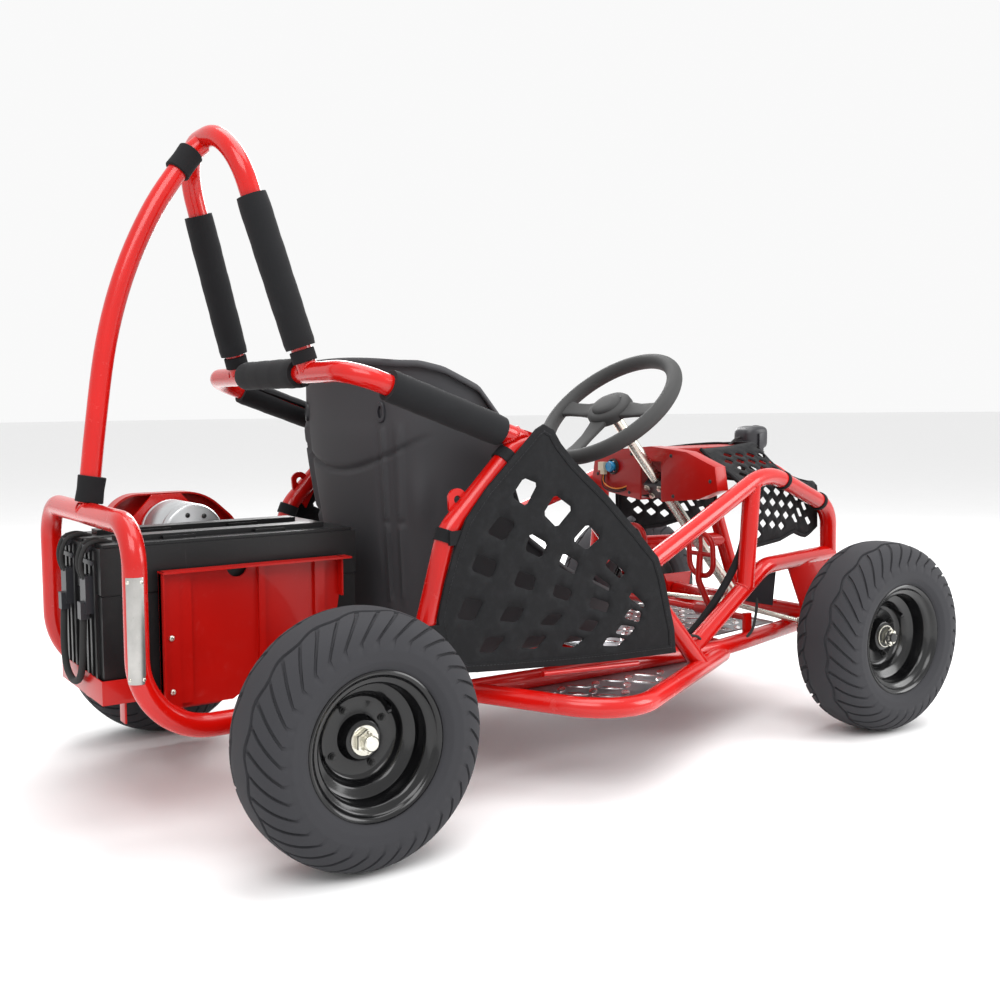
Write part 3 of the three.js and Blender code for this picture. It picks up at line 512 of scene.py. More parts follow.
def shaded(mesh: bpy.types.Mesh, sharp: float) -> bpy.types.Mesh:
    """Shades a mesh smooth, apart from edges above an angle in degrees."""
    mesh.polygons.foreach_set("use_smooth", [True] * len(mesh.polygons))
    mesh.set_sharp_from_angle(angle=math.radians(sharp))
    return mesh


def discard(piece: bpy.types.Object) -> None:
    """Removes an object that is no longer needed."""
    bpy.data.objects.remove(piece, do_unlink=True)


# ---------------------------------------------------------------- geometry nodes


class Jig:
    """A Geometry Nodes tree with named inputs, baked into a plain mesh."""

    def __init__(self, name: str) -> None:
        """Starts an empty tree.

        Args:
            name: The tree's name.
        """
        self.tree = bpy.data.node_groups.new(name, "GeometryNodeTree")
        self.board = Board(self.tree)
        self.keys: dict[str, str] = {}
        self.tree.interface.new_socket("Geometry", in_out="INPUT", socket_type="NodeSocketGeometry")
        self.tree.interface.new_socket("Geometry", in_out="OUTPUT", socket_type="NodeSocketGeometry")
        self.start = self.tree.nodes.new("NodeGroupInput")
        self.end = self.tree.nodes.new("NodeGroupOutput")

    def input(self, name: str, kind: str) -> Wire:
        """Adds a named input.

        Args:
            name: The input's name.
            kind: Its socket type without the prefix, such as Float or Int.

        Returns:
            The wire from it.
        """
        made = self.tree.interface.new_socket(name, in_out="INPUT", socket_type=f"NodeSocket{kind}")
        self.keys[name] = made.identifier
        return self.board.out(self.start, name)

    def close(self, shape: Wire, material: Wire) -> None:
        """Ends the tree in Realize Instances, smooth shading and Set Material."""
        real = self.board.node("GeometryNodeRealizeInstances", {0: shape})
        soft = self.board.node("GeometryNodeSetShadeSmooth", {0: self.board.out(real)})
        done = self.board.node("GeometryNodeSetMaterial", {0: self.board.out(soft), 2: material})
        self.tree.links.new(done.outputs[0], self.end.inputs[0])

    def bake(self, name: str, source: bpy.types.Object, values: dict, sharp: float = 40.0) -> bpy.types.Object:
        """Runs the tree on an object and keeps the result as a plain mesh.

        Args:
            name: The result's name.
            source: The object that the tree starts from, which is removed.
            values: A value for each named input.
            sharp: The angle above which an edge is sharp, in degrees.

        Returns:
            The new object.
        """
        modifier = source.modifiers.new(self.tree.name, "NODES")
        modifier.node_group = self.tree
        for key, value in values.items():
            modifier[self.keys[key]] = value
        source.update_tag()
        seen = source.evaluated_get(bpy.context.evaluated_depsgraph_get())
        mesh = bpy.data.meshes.new_from_object(seen)
        source.modifiers.clear()
        discard(source)
        mesh.name = name
        mesh.set_sharp_from_angle(angle=math.radians(sharp))
        return as_object(name, mesh)


def tube_jig() -> Jig:
    """Tree that sweeps a round tube along edges, each point with its own radius."""
    jig = Jig("bent_tubes")
    sides = jig.input("Sides", "Int")
    material = jig.input("Material", "Material")
    board = jig.board
    radius = board.node("GeometryNodeInputNamedAttribute", {"Name": "bore"}, data_type="FLOAT")
    path = board.node("GeometryNodeMeshToCurve", {0: board.out(jig.start, 0)})
    ring = board.node("GeometryNodeCurvePrimitiveCircle", {"Resolution": sides, "Radius": 1.0})
    swept = board.node(
        "GeometryNodeCurveToMesh",
        {"Curve": board.out(path), "Profile Curve": board.out(ring), "Scale": board.out(radius), "Fill Caps": True},
    )
    jig.close(board.out(swept), material)
    return jig


def ring_jig() -> Jig:
    """Tree that repeats one pitch around the X axis and welds the pitches together."""
    jig = Jig("pitches_round_a_wheel")
    count = jig.input("Count", "Int")
    weld = jig.input("Weld", "Float")
    material = jig.input("Material", "Material")
    board = jig.board
    seats = board.node("GeometryNodeMeshLine", {"Count": count, "Offset": (0.0, 0.0, 0.0)})
    index = board.out(board.node("GeometryNodeInputIndex"))
    turn = board.node("FunctionNodeAxisAngleToRotation", {"Axis": (1, 0, 0), "Angle": index * math.tau / count})
    spread = board.node(
        "GeometryNodeInstanceOnPoints",
        {"Points": board.out(seats), "Instance": board.out(jig.start, 0), "Rotation": board.out(turn)},
    )
    real = board.node("GeometryNodeRealizeInstances", {0: board.out(spread)})
    joined = board.node("GeometryNodeMergeByDistance", {"Geometry": board.out(real), "Distance": weld})
    jig.close(board.out(joined), material)
    return jig


def scatter_jig() -> Jig:
    """Tree that sets a copy of a part on each point, turned and sized by the point."""
    jig = Jig("parts_on_points")
    part = jig.input("Part", "Object")
    material = jig.input("Material", "Material")
    board = jig.board
    aim = board.node("GeometryNodeInputNamedAttribute", {"Name": "aim"}, data_type="FLOAT_VECTOR")
    along = board.node("GeometryNodeInputNamedAttribute", {"Name": "along"}, data_type="FLOAT_VECTOR")
    size = board.node("GeometryNodeInputNamedAttribute", {"Name": "size"}, data_type="FLOAT")
    turn = board.node(
        "FunctionNodeAxesToRotation",
        {"Primary Axis": board.out(aim), "Secondary Axis": board.out(along)},
        primary_axis="Z",
        secondary_axis="X",
    )
    shape = board.node("GeometryNodeObjectInfo", {"Object": part, "As Instance": True})
    spread = board.node(
        "GeometryNodeInstanceOnPoints",
        {
            "Points": board.out(jig.start, 0),
            "Instance": board.out(shape, "Geometry"),
            "Rotation": board.out(turn),
            "Scale": board.out(size),
        },
    )
    jig.close(board.out(spread), material)
    return jig


# ---------------------------------------------------------------- shapes in code


def bent(corners: Sequence[Point], radii: Sequence[float] = (), step: float = 5.0) -> list[Vector]:
    """Points along straight runs joined by round bends.

    Args:
        corners: The corners of the line.
        radii: A bend radius for each inner corner.
        step: The turn between two points of a bend, in degrees.

    Returns:
        The points, close together in the bends, with none added along the straight runs.
    """
    p = [Vector(c) for c in corners]
    if not radii:
        return p
    line = [p[0]]
    for before, corner, after, radius in zip(p, p[1:], p[2:], radii):
        inward = (corner - before).normalized()
        outward = (after - corner).normalized()
        turn = inward.angle(outward)
        run = radius * math.tan(turn / 2)
        start = corner - inward * run
        axis = inward.cross(outward).normalized()
        centre = start + axis.cross(inward) * radius
        count = max(2, math.ceil(math.degrees(turn) / step))
        for i in range(count + 1):
            line.append(centre + Matrix.Rotation(turn * i / count, 3, axis) @ (start - centre))
    line.append(p[-1])
    return line


def curved(points: Sequence[Point], per_span: int = 6) -> list[Vector]:
    """Points on a smooth curve through others.

    Args:
        points: The points that it passes through.
        per_span: How many points each span gets.

    Returns:
        The points of the curve.
    """
    p = [Vector(c) for c in points]
    p = [p[0] * 2 - p[1], *p, p[-1] * 2 - p[-2]]
    line: list[Vector] = []
    for a, b, c, d in zip(p, p[1:], p[2:], p[3:]):
        for i in range(per_span):
            t = i / per_span
            line.append(
                0.5 * (2 * b + (c - a) * t + (2 * a - 5 * b + 4 * c - d) * t * t + (3 * b - a - 3 * c + d) * t ** 3)
            )
    line.append(p[-2])
    return line


def ramp(x: float, pairs: Sequence[tuple[float, float]]) -> float:
    """Value at x of a line through pairs of numbers, held level past its ends."""
    if x <= pairs[0][0]:
        return pairs[0][1]
    for (x0, y0), (x1, y1) in zip(pairs, pairs[1:]):
        if x <= x1:
            return y0 + (y1 - y0) * (x - x0) / (x1 - x0)
    return pairs[-1][1]


def ease(t: float) -> float:
    """Smooth step from zero to one."""
    t = min(1.0, max(0.0, t))
    return t * t * (3 - 2 * t)


AXLE_WAY = Matrix.Rotation(math.pi / 2, 4, "Y")
UPRIGHT = Matrix(((0, 0, 1, 0), (1, 0, 0, 0), (0, 1, 0, 0), (0, 0, 0, 1)))


def turns(count: int, span: float = math.tau, start: float = 0.0, extra: int = 0) -> list[float]:
    """Even angles over a span, with extra ones past its end."""
    return [start + span * i / count for i in range(count + extra)]


def polygon(count: int, radius: float, y: float = 0.0, z: float = 0.0) -> list[tuple[float, float]]:
    """Corners of a regular polygon, or a finely divided circle."""
    return [(y + radius * math.cos(a), z + radius * math.sin(a)) for a in turns(count)]


def squared(angle: float, power: float) -> tuple[float, float]:
    """Point of a rounded square of half-width one."""
    c, d = math.cos(angle), math.sin(angle)
    return (math.copysign(abs(c) ** power, c), math.copysign(abs(d) ** power, d))


def outward_axis(centre: Point, sign: float) -> Matrix:
    """Place whose Z axis points along +X or -X."""
    return Matrix.Translation(Vector(centre)) @ Matrix.Rotation(sign * math.pi / 2, 4, "Y")


def along_axis(spot: Point, way: Point) -> Matrix:
    """Place whose Z axis points along a direction."""
    turn = Vector(way).to_track_quat("Z", "Y").to_matrix().to_4x4()
    return Matrix.Translation(Vector(spot)) @ turn


class Form:
    """A mesh under construction, in the drawing's millimetres."""

    def __init__(self) -> None:
        """Starts with no faces."""
        self.bm = bmesh.new()

    def grid(
        self, rows: Sequence[Sequence[Vector]], around: bool = False, ends: bool = False, caps: bool = True
    ) -> Form:
        """Adds a sheet of four-sided faces between rows of points.

        Args:
            rows: The rows, all of one length.
            around: Whether the last point of a row joins the first.
            ends: Whether the last row joins the first.
            caps: Whether a face closes each open end of a shape that runs around.

        Returns:
            The form itself.
        """
        made = [[self.bm.verts.new(p) for p in row] for row in rows]
        pairs = list(zip(made, made[1:]))
        if ends:
            pairs.append((made[-1], made[0]))
        for a, b in pairs:
            width = len(a)
            for i in range(width if around else width - 1):
                j = (i + 1) % width
                self.bm.faces.new((a[i], a[j], b[j], b[i]))
        if around and caps and not ends:
            self.bm.faces.new(list(reversed(made[0])))
            self.bm.faces.new(made[-1])
        return self

    def sweep(self, line: Sequence[Vector], section: Callable[[float, int], list[tuple[float, float]]]) -> Form:
        """Adds a closed section carried along a line.

        Args:
            line: The points of the line.
            section: Gives the section's points at a share of the length.

        Returns:
            The form itself.
        """
        ways = [(line[min(i + 1, len(line) - 1)] - line[max(i - 1, 0)]).normalized() for i in range(len(line))]
        side = ways[0].orthogonal().normalized()
        rows = []
        for i, (point, way) in enumerate(zip(line, ways)):
            side = (side - way * side.dot(way)).normalized()
            up = way.cross(side)
            rows.append([point + side * x + up * y for x, y in section(i / (len(line) - 1), i)])
        return self.grid(rows, around=True)

    def lathe(self, profile: Sequence[tuple[float, float]], place: Matrix, sides: int = 64, loop: bool = True) -> Form:
        """Adds a turned shape.

        Args:
            profile: Pairs of distance along the axis and radius.
            place: Where the axis, local Z, lies.
            sides: Faces round the axis.
            loop: Whether the profile closes on itself.

        Returns:
            The form itself.
        """
        before = len(self.bm.verts)
        rows = [[place @ Vector((x, y, along)) for x, y in polygon(sides, radius)] for along, radius in profile]
        self.grid(rows, around=True, ends=loop)
        self.bm.verts.ensure_lookup_table()
        fresh = self.bm.verts[before:]
        bmesh.ops.remove_doubles(self.bm, verts=fresh, dist=1e-4)
        return self

    def prism(self, outline: Sequence[tuple[float, float]], low: float, high: float, place: Matrix) -> Form:
        """Adds an outline given a thickness along local Z."""
        rows = [[place @ Vector((x, y, z)) for x, y in outline] for z in (low, high)]
        return self.grid(rows, around=True)

    def block(self, low: Point, high: Point, place: Matrix | None = None) -> Form:
        """Adds a box between two corners."""
        outline = [(low[0], low[1]), (high[0], low[1]), (high[0], high[1]), (low[0], high[1])]
        return self.prism(outline, low[2], high[2], place or Matrix.Identity(4))

    def soften(self, width: float, segments: int = 2, above: float = 30.0) -> Form:
        """Rounds every edge that is sharper than an angle.

        Args:
            width: The rounding's width.
            segments: Faces across it.
            above: The angle, in degrees.

        Returns:
            The form itself.
        """
        limit = math.radians(above)
        edges = [e for e in self.bm.edges if len(e.link_faces) == 2 and e.calc_face_angle(0.0) > limit]
        bmesh.ops.bevel(
            self.bm, geom=edges, offset=width, segments=segments, profile=0.6, affect="EDGES", clamp_overlap=True
        )
        return self

    def absorb(self, other: Form) -> Form:
        """Takes over another form's faces."""
        mesh = other.mesh("absorbed")
        self.bm.from_mesh(mesh)
        bpy.data.meshes.remove(mesh)
        return self

    def mirrored(self) -> Form:
        """Flips the shape to the other side of the kart."""
        for v in self.bm.verts:
            v.co.x = -v.co.x
        return self

    def mesh(self, name: str) -> bpy.types.Mesh:
        """Ends the work: faces outward, in a mesh still in millimetres."""
        bmesh.ops.recalc_face_normals(self.bm, faces=self.bm.faces)
        made = bpy.data.meshes.new(name)
        self.bm.to_mesh(made)
        self.bm.free()
        return made

    def piece(self, name: str, works: Works, paint: Paint, sharp: float = 35.0) -> bpy.types.Object:
        """Ends the work as an object in the frame's metres.

        Args:
            name: The object's name.
            works: The works that know where the drawing lies.
            paint: The finish.
            sharp: The angle above which an edge is sharp, in degrees.

        Returns:
            The object.
        """
        mesh = self.mesh(name)
        works.settle(mesh)
        return as_object(name, shaded(mesh, sharp), paint)


def recut(
    works: Works, node: str, paint: Paint, width: float = 0.7, sharp: float = 30.0, body: str = "chassis"
) -> bpy.types.Object:
    """Puts a copy of a frame node, with merged points and rounded edges, in the node's place.

    Args:
        works: The works.
        node: The node that is copied.
        paint: The finish.
        width: The rounding of its edges, in millimetres.
        sharp: The angle above which an edge is sharp, in degrees.
        body: The body that it moves with.

    Returns:
        The new piece.
    """
    form = Form()
    form.bm.from_mesh(works.frame["nodes"][node].data)
    bmesh.ops.remove_doubles(form.bm, verts=form.bm.verts, dist=2e-5)
    bmesh.ops.dissolve_limit(form.bm, angle_limit=math.radians(1.0), verts=form.bm.verts, edges=form.bm.edges)
    mesh = form.soften(width * MM, 2, sharp).mesh(f"{node}_body")
    return works.fit(as_object(f"{node}_body", shaded(mesh, sharp), paint), body, paint, node)


# ---------------------------------------------------------------- repeated parts


@dataclass(frozen=True)
class Seat:
    """Where one repeated part sits: its place, its axis, its turn and its size."""

    spot: Point
    aim: Point
    along: Point = (0.0, 0.0, 0.0)
    size: float = 1.0

    def flipped(self) -> Seat:
        """The same seat on the other side of the kart."""
        flip = [(-v[0], v[1], v[2]) for v in (self.spot, self.aim, self.along)]
        return Seat(flip[0], flip[1], flip[2], self.size)


class Part(Enum):
    """Small parts that are repeated over the kart."""

    BOLT = "hex_bolt"
    NUT = "lock_nut"
    RIVET = "dome_rivet"
    SCREW = "pan_screw"
    LUG = "tread_bar"
    BEAD = "weld_ripple"
    STITCH = "stitch"
    OUTER_LINK = "outer_link"
    INNER_LINK = "inner_link"
    TOOTH = "sprocket_tooth"


def part_form(part: Part) -> Form:
    """Shape of one small part, in millimetres, standing on local Z.

    Args:
        part: Which part.

    Returns:
        Its form.
    """
    form = Form()
    flat = Matrix.Identity(4)

    if part is Part.BOLT:
        form.lathe([(0.0, 0.0), (0.0, 7.4), (0.9, 7.6), (1.3, 7.0), (1.3, 0.0)], flat, 20, loop=False)
        form.prism(polygon(6, 5.6), 1.2, 5.4, flat).soften(0.5, 1)
    elif part is Part.NUT:
        form.lathe([(0.0, 0.0), (0.0, 7.4), (1.2, 7.4), (1.2, 0.0)], flat, 20, loop=False)
        form.prism(polygon(6, 5.6), 1.1, 6.0, flat)
        form.lathe([(5.8, 0.0), (5.8, 4.4), (7.2, 4.0), (7.2, 3.0), (9.0, 2.9), (9.0, 0.0)], flat, 16, loop=False)
    elif part is Part.RIVET:
        form.lathe([(0.0, 3.2), (0.7, 3.1), (1.4, 2.3), (1.8, 1.2), (1.9, 0.0)], flat, 14, loop=False)
    elif part is Part.SCREW:
        form.lathe([(0.0, 3.6), (1.2, 3.5), (2.2, 2.6), (2.4, 1.3), (1.5, 1.1), (1.5, 0.0)], flat, 14, loop=False)
    elif part is Part.LUG:
        outline = [(-17, 0), (-11, -4.6), (0, -5.8), (11, -4.6), (17, 0), (11, 4.6), (0, 5.8), (-11, 4.6)]
        rows = [
            [Vector((x * s, y * s, z)) for x, y in outline] for z, s in ((-0.6, 1.0), (0.5, 0.97), (1.3, 0.72))
        ]
        form.grid(rows, around=True)
    elif part is Part.BEAD:
        rows = []
        for z, s in ((-1.2, 0.7), (0.0, 1.0), (0.9, 0.8), (1.4, 0.35)):
            rows.append([Vector((1.9 * s * math.cos(a), 2.9 * s * math.sin(a), z)) for a in turns(8)])
        form.grid(rows, around=True)
    elif part is Part.STITCH:
        rows = []
        for x, s in ((-2.0, 0.3), (-1.2, 1.0), (1.2, 1.0), (2.0, 0.3)):
            rows.append([Vector((x, 0.45 * s * math.cos(a), 0.45 * s * math.sin(a) + 0.2)) for a in turns(6)])
        form.grid(rows, around=True)
    elif part in (Part.OUTER_LINK, Part.INNER_LINK):
        gap = 3.1 if part is Part.OUTER_LINK else 2.0
        waist = [(-4, 3.4), (0, 2.3), (4, 3.4), (6.4, 2.4), (7.2, 0), (6.4, -2.4), (4, -3.4), (0, -2.3), (-4, -3.4),
                 (-6.4, -2.4), (-7.2, 0), (-6.4, 2.4)]
        for side in (-1, 1):
            form.prism(waist, side * gap - 0.5, side * gap + 0.5, flat)
        reach, radius, sides = (4.2, 1.2, 8) if part is Part.OUTER_LINK else (2.2, 2.4, 10)
        for x in (-4, 4):
            form.lathe([(-reach, radius), (reach, radius)], Matrix.Translation((x, 0, 0)), sides, loop=False)
    elif part is Part.TOOTH:
        form.prism([(-3.3, -2.5), (3.3, -2.5), (2.3, 1.4), (0.9, 3.6), (-0.9, 3.6), (-2.3, 1.4)], -1.9, 1.9, flat)
    return form


class Spreader:
    """Sets small parts on their seats with one tree."""

    def __init__(self, works: Works) -> None:
        """Builds the tree once."""
        self.works = works
        self.jig = scatter_jig()
        self.parts: dict[Part, bpy.types.Object] = {}

    def pattern(self, part: Part) -> bpy.types.Object:
        """The part as a hidden pattern object, made once."""
        if part not in self.parts:
            mesh = part_form(part).mesh(part.value)
            mesh.transform(Matrix.Scale(MM, 4))
            self.parts[part] = as_object(f"pattern_{part.value}", mesh)
        return self.parts[part]

    def spread(self, name: str, part: Part, seats: Sequence[Seat], paint: Paint) -> bpy.types.Object:
        """Makes one piece out of many copies of a part.

        Args:
            name: The piece's name.
            part: Which part.
            seats: Where the copies sit, in the drawing's millimetres.
            paint: The finish.

        Returns:
            The piece.
        """
        mesh = bpy.data.meshes.new(name + "_seats")
        mesh.from_pydata([self.works.place(s.spot) for s in seats], [], [])
        for key, kind in (("aim", "FLOAT_VECTOR"), ("along", "FLOAT_VECTOR")):
            layer = mesh.attributes.new(key, kind, "POINT")
            for i, seat in enumerate(seats):
                way = Vector(getattr(seat, key))
                if key == "along" and way.length < 1e-6:
                    way = Vector(seat.aim).orthogonal()
                layer.data[i].vector = way.normalized()
        size = mesh.attributes.new("size", "FLOAT", "POINT")
        size.data.foreach_set("value", [s.size for s in seats])
        values = {"Part": self.pattern(part), "Material": paint.value.make()}
        return self.jig.bake(name, as_object(name + "_seats", mesh), values)

    def fix(
        self, name: str, part: Part, seats: Sequence[Seat], paint: Paint, body: str = "chassis"
    ) -> bpy.types.Object:
        """Makes one piece out of many copies of a part and puts it on a body."""
        return self.works.fit(self.spread(name, part, seats, paint), body, paint)

    def clear(self) -> None:
        """Removes the patterns."""
        for pattern in self.parts.values():
            discard(pattern)
        self.parts.clear()


# ---------------------------------------------------------------- welded tubes


@dataclass(frozen=True)
class Tube:
    """One bent tube: its corners, its bends and its radius."""

    corners: tuple[Point, ...]
    radii: tuple[float, ...] = ()
    bore: float = 15.0

    def line(self) -> list[Vector]:
        """The points along its middle."""
        return bent(self.corners, self.radii)

    def flipped(self) -> Tube:
        """The same tube on the other side of the kart."""
        return Tube(tuple((-x, y, z) for x, y, z in self.corners), self.radii, self.bore)


@dataclass(frozen=True)
class StraightTube(Tube):
    """Tube or cord that follows its points as they are."""

    def line(self) -> list[Vector]:
        """The points along its middle."""
        return [Vector(p) for p in self.corners]


def wire(points: Sequence[Point], bore: float, per_span: int = 6) -> StraightTube:
    """A cable or a thin line on a smooth curve through points."""
    return StraightTube(tuple(curved(points, per_span)), (), bore)


@dataclass(frozen=True)
class Joint:
    """A tube's end welded to the side of another tube."""

    end: Point
    way: Point
    bore: float
    other: tuple[Point, Point]
    other_bore: float

    def flipped(self) -> Joint:
        """The same joint on the other side of the kart."""
        flip = [(-p[0], p[1], p[2]) for p in (self.end, self.way, *self.other)]
        return Joint(flip[0], flip[1], self.bore, (flip[2], flip[3]), self.other_bore)

    def seats(self) -> list[Seat]:
        """Places for the weld's ripples, on the line where the two tubes meet."""
        way = Vector(self.way).normalized()
        side = way.orthogonal().normalized()
        up = way.cross(side)
        a, b = (Vector(p) for p in self.other)
        rail = (b - a).normalized()
        count = max(18, int(math.tau * self.bore / 2.6))
        found = []
        for i in range(count):
            angle = math.tau * i / count
            out = side * math.cos(angle) + up * math.sin(angle)
            start = Vector(self.end) + out * self.bore
            across = way - rail * way.dot(rail)
            off = (start - a) - rail * (start - a).dot(rail)
            qa, qb, qc = across.dot(across), 2 * across.dot(off), off.dot(off) - self.other_bore ** 2
            root = qb * qb - 4 * qa * qc
            if qa < 1e-6 or root < 0:
                continue
            t = (-qb - math.sqrt(root)) / (2 * qa)
            spot = start + way * t
            normal = (spot - a) - rail * (spot - a).dot(rail)
            aim = (normal.normalized() + out).normalized()
            found.append(Seat(spot, aim, out.cross(way)))
        return found


class FrameShop:
    """Cuts, bends and welds the kart's tubes."""

    def __init__(self, works: Works, spreader: Spreader) -> None:
        """Builds the tube tree once."""
        self.works = works
        self.spreader = spreader
        self.jig = tube_jig()

    def bend(self, name: str, tubes: Sequence[Tube], paint: Paint, sides: int = 28) -> bpy.types.Object:
        """Makes one piece of several tubes.

        Args:
            name: The piece's name.
            tubes: The tubes.
            paint: The finish.
            sides: Faces round each tube.

        Returns:
            The piece.
        """
        spots: list[Vector] = []
        edges: list[tuple[int, int]] = []
        bores: list[float] = []
        for tube in tubes:
            first = len(spots)
            line = tube.line()
            spots += [self.works.place(p) for p in line]
            bores += [tube.bore * MM] * len(line)
            edges += [(i, i + 1) for i in range(first, len(spots) - 1)]
        mesh = bpy.data.meshes.new(name + "_line")
        mesh.from_pydata(spots, edges, [])
        mesh.attributes.new("bore", "FLOAT", "POINT").data.foreach_set("value", bores)
        values = {"Sides": sides, "Material": paint.value.make()}
        return self.jig.bake(name, as_object(name + "_line", mesh), values)

    def run(
        self, name: str, tubes: Sequence[Tube], paint: Paint, *stands_for: str, body: str = "chassis", sides: int = 28
    ) -> bpy.types.Object:
        """Makes one piece of several tubes and puts it on a body."""
        return self.works.fit(self.bend(name, tubes, paint, sides), body, paint, *stands_for)

    def weld(self, name: str, joints: Sequence[Joint]) -> None:
        """Lays a rippled weld round each joint, as one piece."""
        self.spreader.fix(name, Part.BEAD, [seat for joint in joints for seat in joint.seats()], Paint.RED)


# ---------------------------------------------------------------- the frame


@dataclass(frozen=True)
class WeldedFrame:
    """The kart's tube frame, its welds, lugs and data plate."""

    rail_x: float = 203.0
    rail_z: float = 152.0
    tube: float = 15.0
    hoop_tube: float = 16.0
    arm_x: float = 250.0
    bar_y: float = 62.0
    bar_z: float = 626.0

    def lower(self) -> list[Tube]:
        """Rails, nose loop and cross tubes."""
        x, z = self.rail_x, self.rail_z
        half = [(x, 15, z), (x, 800, z), (183, 885, z), (118, 1120, z), (112, 1200, z)]
        loop = half + [(-px, py, pz) for px, py, pz in reversed(half)]
        tubes = [Tube(tuple(loop), (70, 70, 60, 30, 30, 60, 70, 70))]
        for y, height, bore in ((112, z, 13.0), (250, z + 23, 12.0), (500, z + 23, 12.0), (815, z, 13.0)):
            tubes.append(Tube(((-x + 4, y, height), (x - 4, y, height)), (), bore))
        tubes.append(Tube(((-176, 905, 190), (176, 905, 190)), (), 6.0))
        return tubes

    def hoop(self) -> list[Tube]:
        """Upright hoop behind the batteries, with its brace."""
        x = self.rail_x
        corners = ((x, -20, 162), (x, -229, 162), (x, -229, 432), (-x, -229, 432), (-x, -229, 162), (-x, -20, 162))
        return [Tube(corners, (100, 55, 55, 100), self.hoop_tube), Tube(((-x, -150, 160), (x, -150, 160)), (), 12.0)]

    def side(self) -> list[Tube]:
        """Right side hoop and step tube."""
        hoop = ((self.rail_x, 150, 152), (256, 160, 232), (256, 208, 400), (256, 356, 546), (250, 716, 138))
        step = ((self.rail_x, 285, 148), (397, 422, 138), (self.rail_x, 810, 142))
        return [Tube(hoop, (35, 70, 62)), Tube(step, (105,))]

    def front(self) -> list[Tube]:
        """Right half of the front frame."""
        upper = ((256, 578, 316), (182, 940, 452), (148, 1148, 374), (112, 1198, 156))
        lower = ((self.rail_x, 728, 152), (191, 925, 284), (133, 1172, 283))
        arch = ((155, 1098, 392), (70, 1096, 440), (0, 1095, 466))
        return [Tube(upper, (150, 70)), Tube(lower, (70,)), Tube(((196, 874, 252), (194, 890, 430))),
                Tube(arch, (60,), 11.0)]

    def build(self, works: Works, shop: FrameShop) -> None:
        """Makes the frame and puts it on the chassis."""
        bar = ((-self.arm_x, 345, 525), (-self.arm_x, self.bar_y, self.bar_z),
               (self.arm_x, self.bar_y, self.bar_z), (self.arm_x, 345, 525))
        roll = ((123, self.bar_y, self.bar_z), (92, -40, 968), (-92, -40, 968), (-123, self.bar_y, self.bar_z))
        spine = [(0, -227, 446), (0, -214, 549), (0, -194, 672), (0, -163, 774), (0, -118, 866), (0, -66, 938),
                 (0, -44, 960)]
        made = (
            ("frame_rails", self.lower(), "lower_frame"),
            ("frame_rear_hoop", self.hoop(), "rear_hoop"),
            ("frame_roll_hoop", [Tube(roll, (86, 86))], "roll_hoop"),
            ("frame_roll_spine", [Tube(tuple(curved(spine)))], "roll_spine"),
            ("frame_shoulder_bar", [Tube(bar, (48, 48))], "shoulder_bar"),
            ("frame_side_right", self.side(), "side_frame_right"),
            ("frame_side_left", [t.flipped() for t in self.side()], "side_frame_left"),
            ("frame_front_right", self.front(), "front_frame_right"),
            ("frame_front_left", [t.flipped() for t in self.front()], "front_frame_left"),
        )
        for name, tubes, node in made:
            shop.run(name, tubes, Paint.RED, node)
        shop.weld("frame_welds", self.joints())
        self.fittings(works, shop)

    def joints(self) -> list[Joint]:
        """Where the tubes are welded to each other."""
        x, z = self.rail_x, self.rail_z
        rail = ((x, 0, z), (x, 800, z))
        one_side = [
            Joint((x - 60, 112, z), (1, 0, 0), 13, rail, 15),
            Joint((x - 60, 815, z), (1, 0, 0), 13, rail, 15),
            Joint((x - 60, -150, 160), (1, 0, 0), 12, ((x, -200, 162), (x, 0, 162)), 16),
            Joint((256, 528, 297), (0.2, 1, 0.38), 15, ((256, 356, 546), (250, 716, 138)), 15),
            Joint((195, 880, 320), (0, 0.1, 1), 15, ((222, 745, 379), (182, 940, 452)), 15),
            Joint((195.5, 878, 300), (0, -0.1, -1), 15, ((197, 830, 221), (191, 925, 284)), 15),
            Joint((123, 50, 665), (0.03, 0.25, -0.97), 15, ((-200, 62, 626), (200, 62, 626)), 15),
            Joint((250, 300, 541), (0, 0.94, -0.33), 15, ((256, 208, 400), (256, 356, 546)), 15),
            Joint((100, 1096, 423), (0.87, 0, -0.48), 11, ((182, 940, 452), (148, 1148, 374)), 15),
        ]
        middle = [Joint((0, -226, 470), (0, -0.1, -1), 15, ((-100, -229, 432), (100, -229, 432)), 16)]
        return one_side + [j.flipped() for j in one_side] + middle

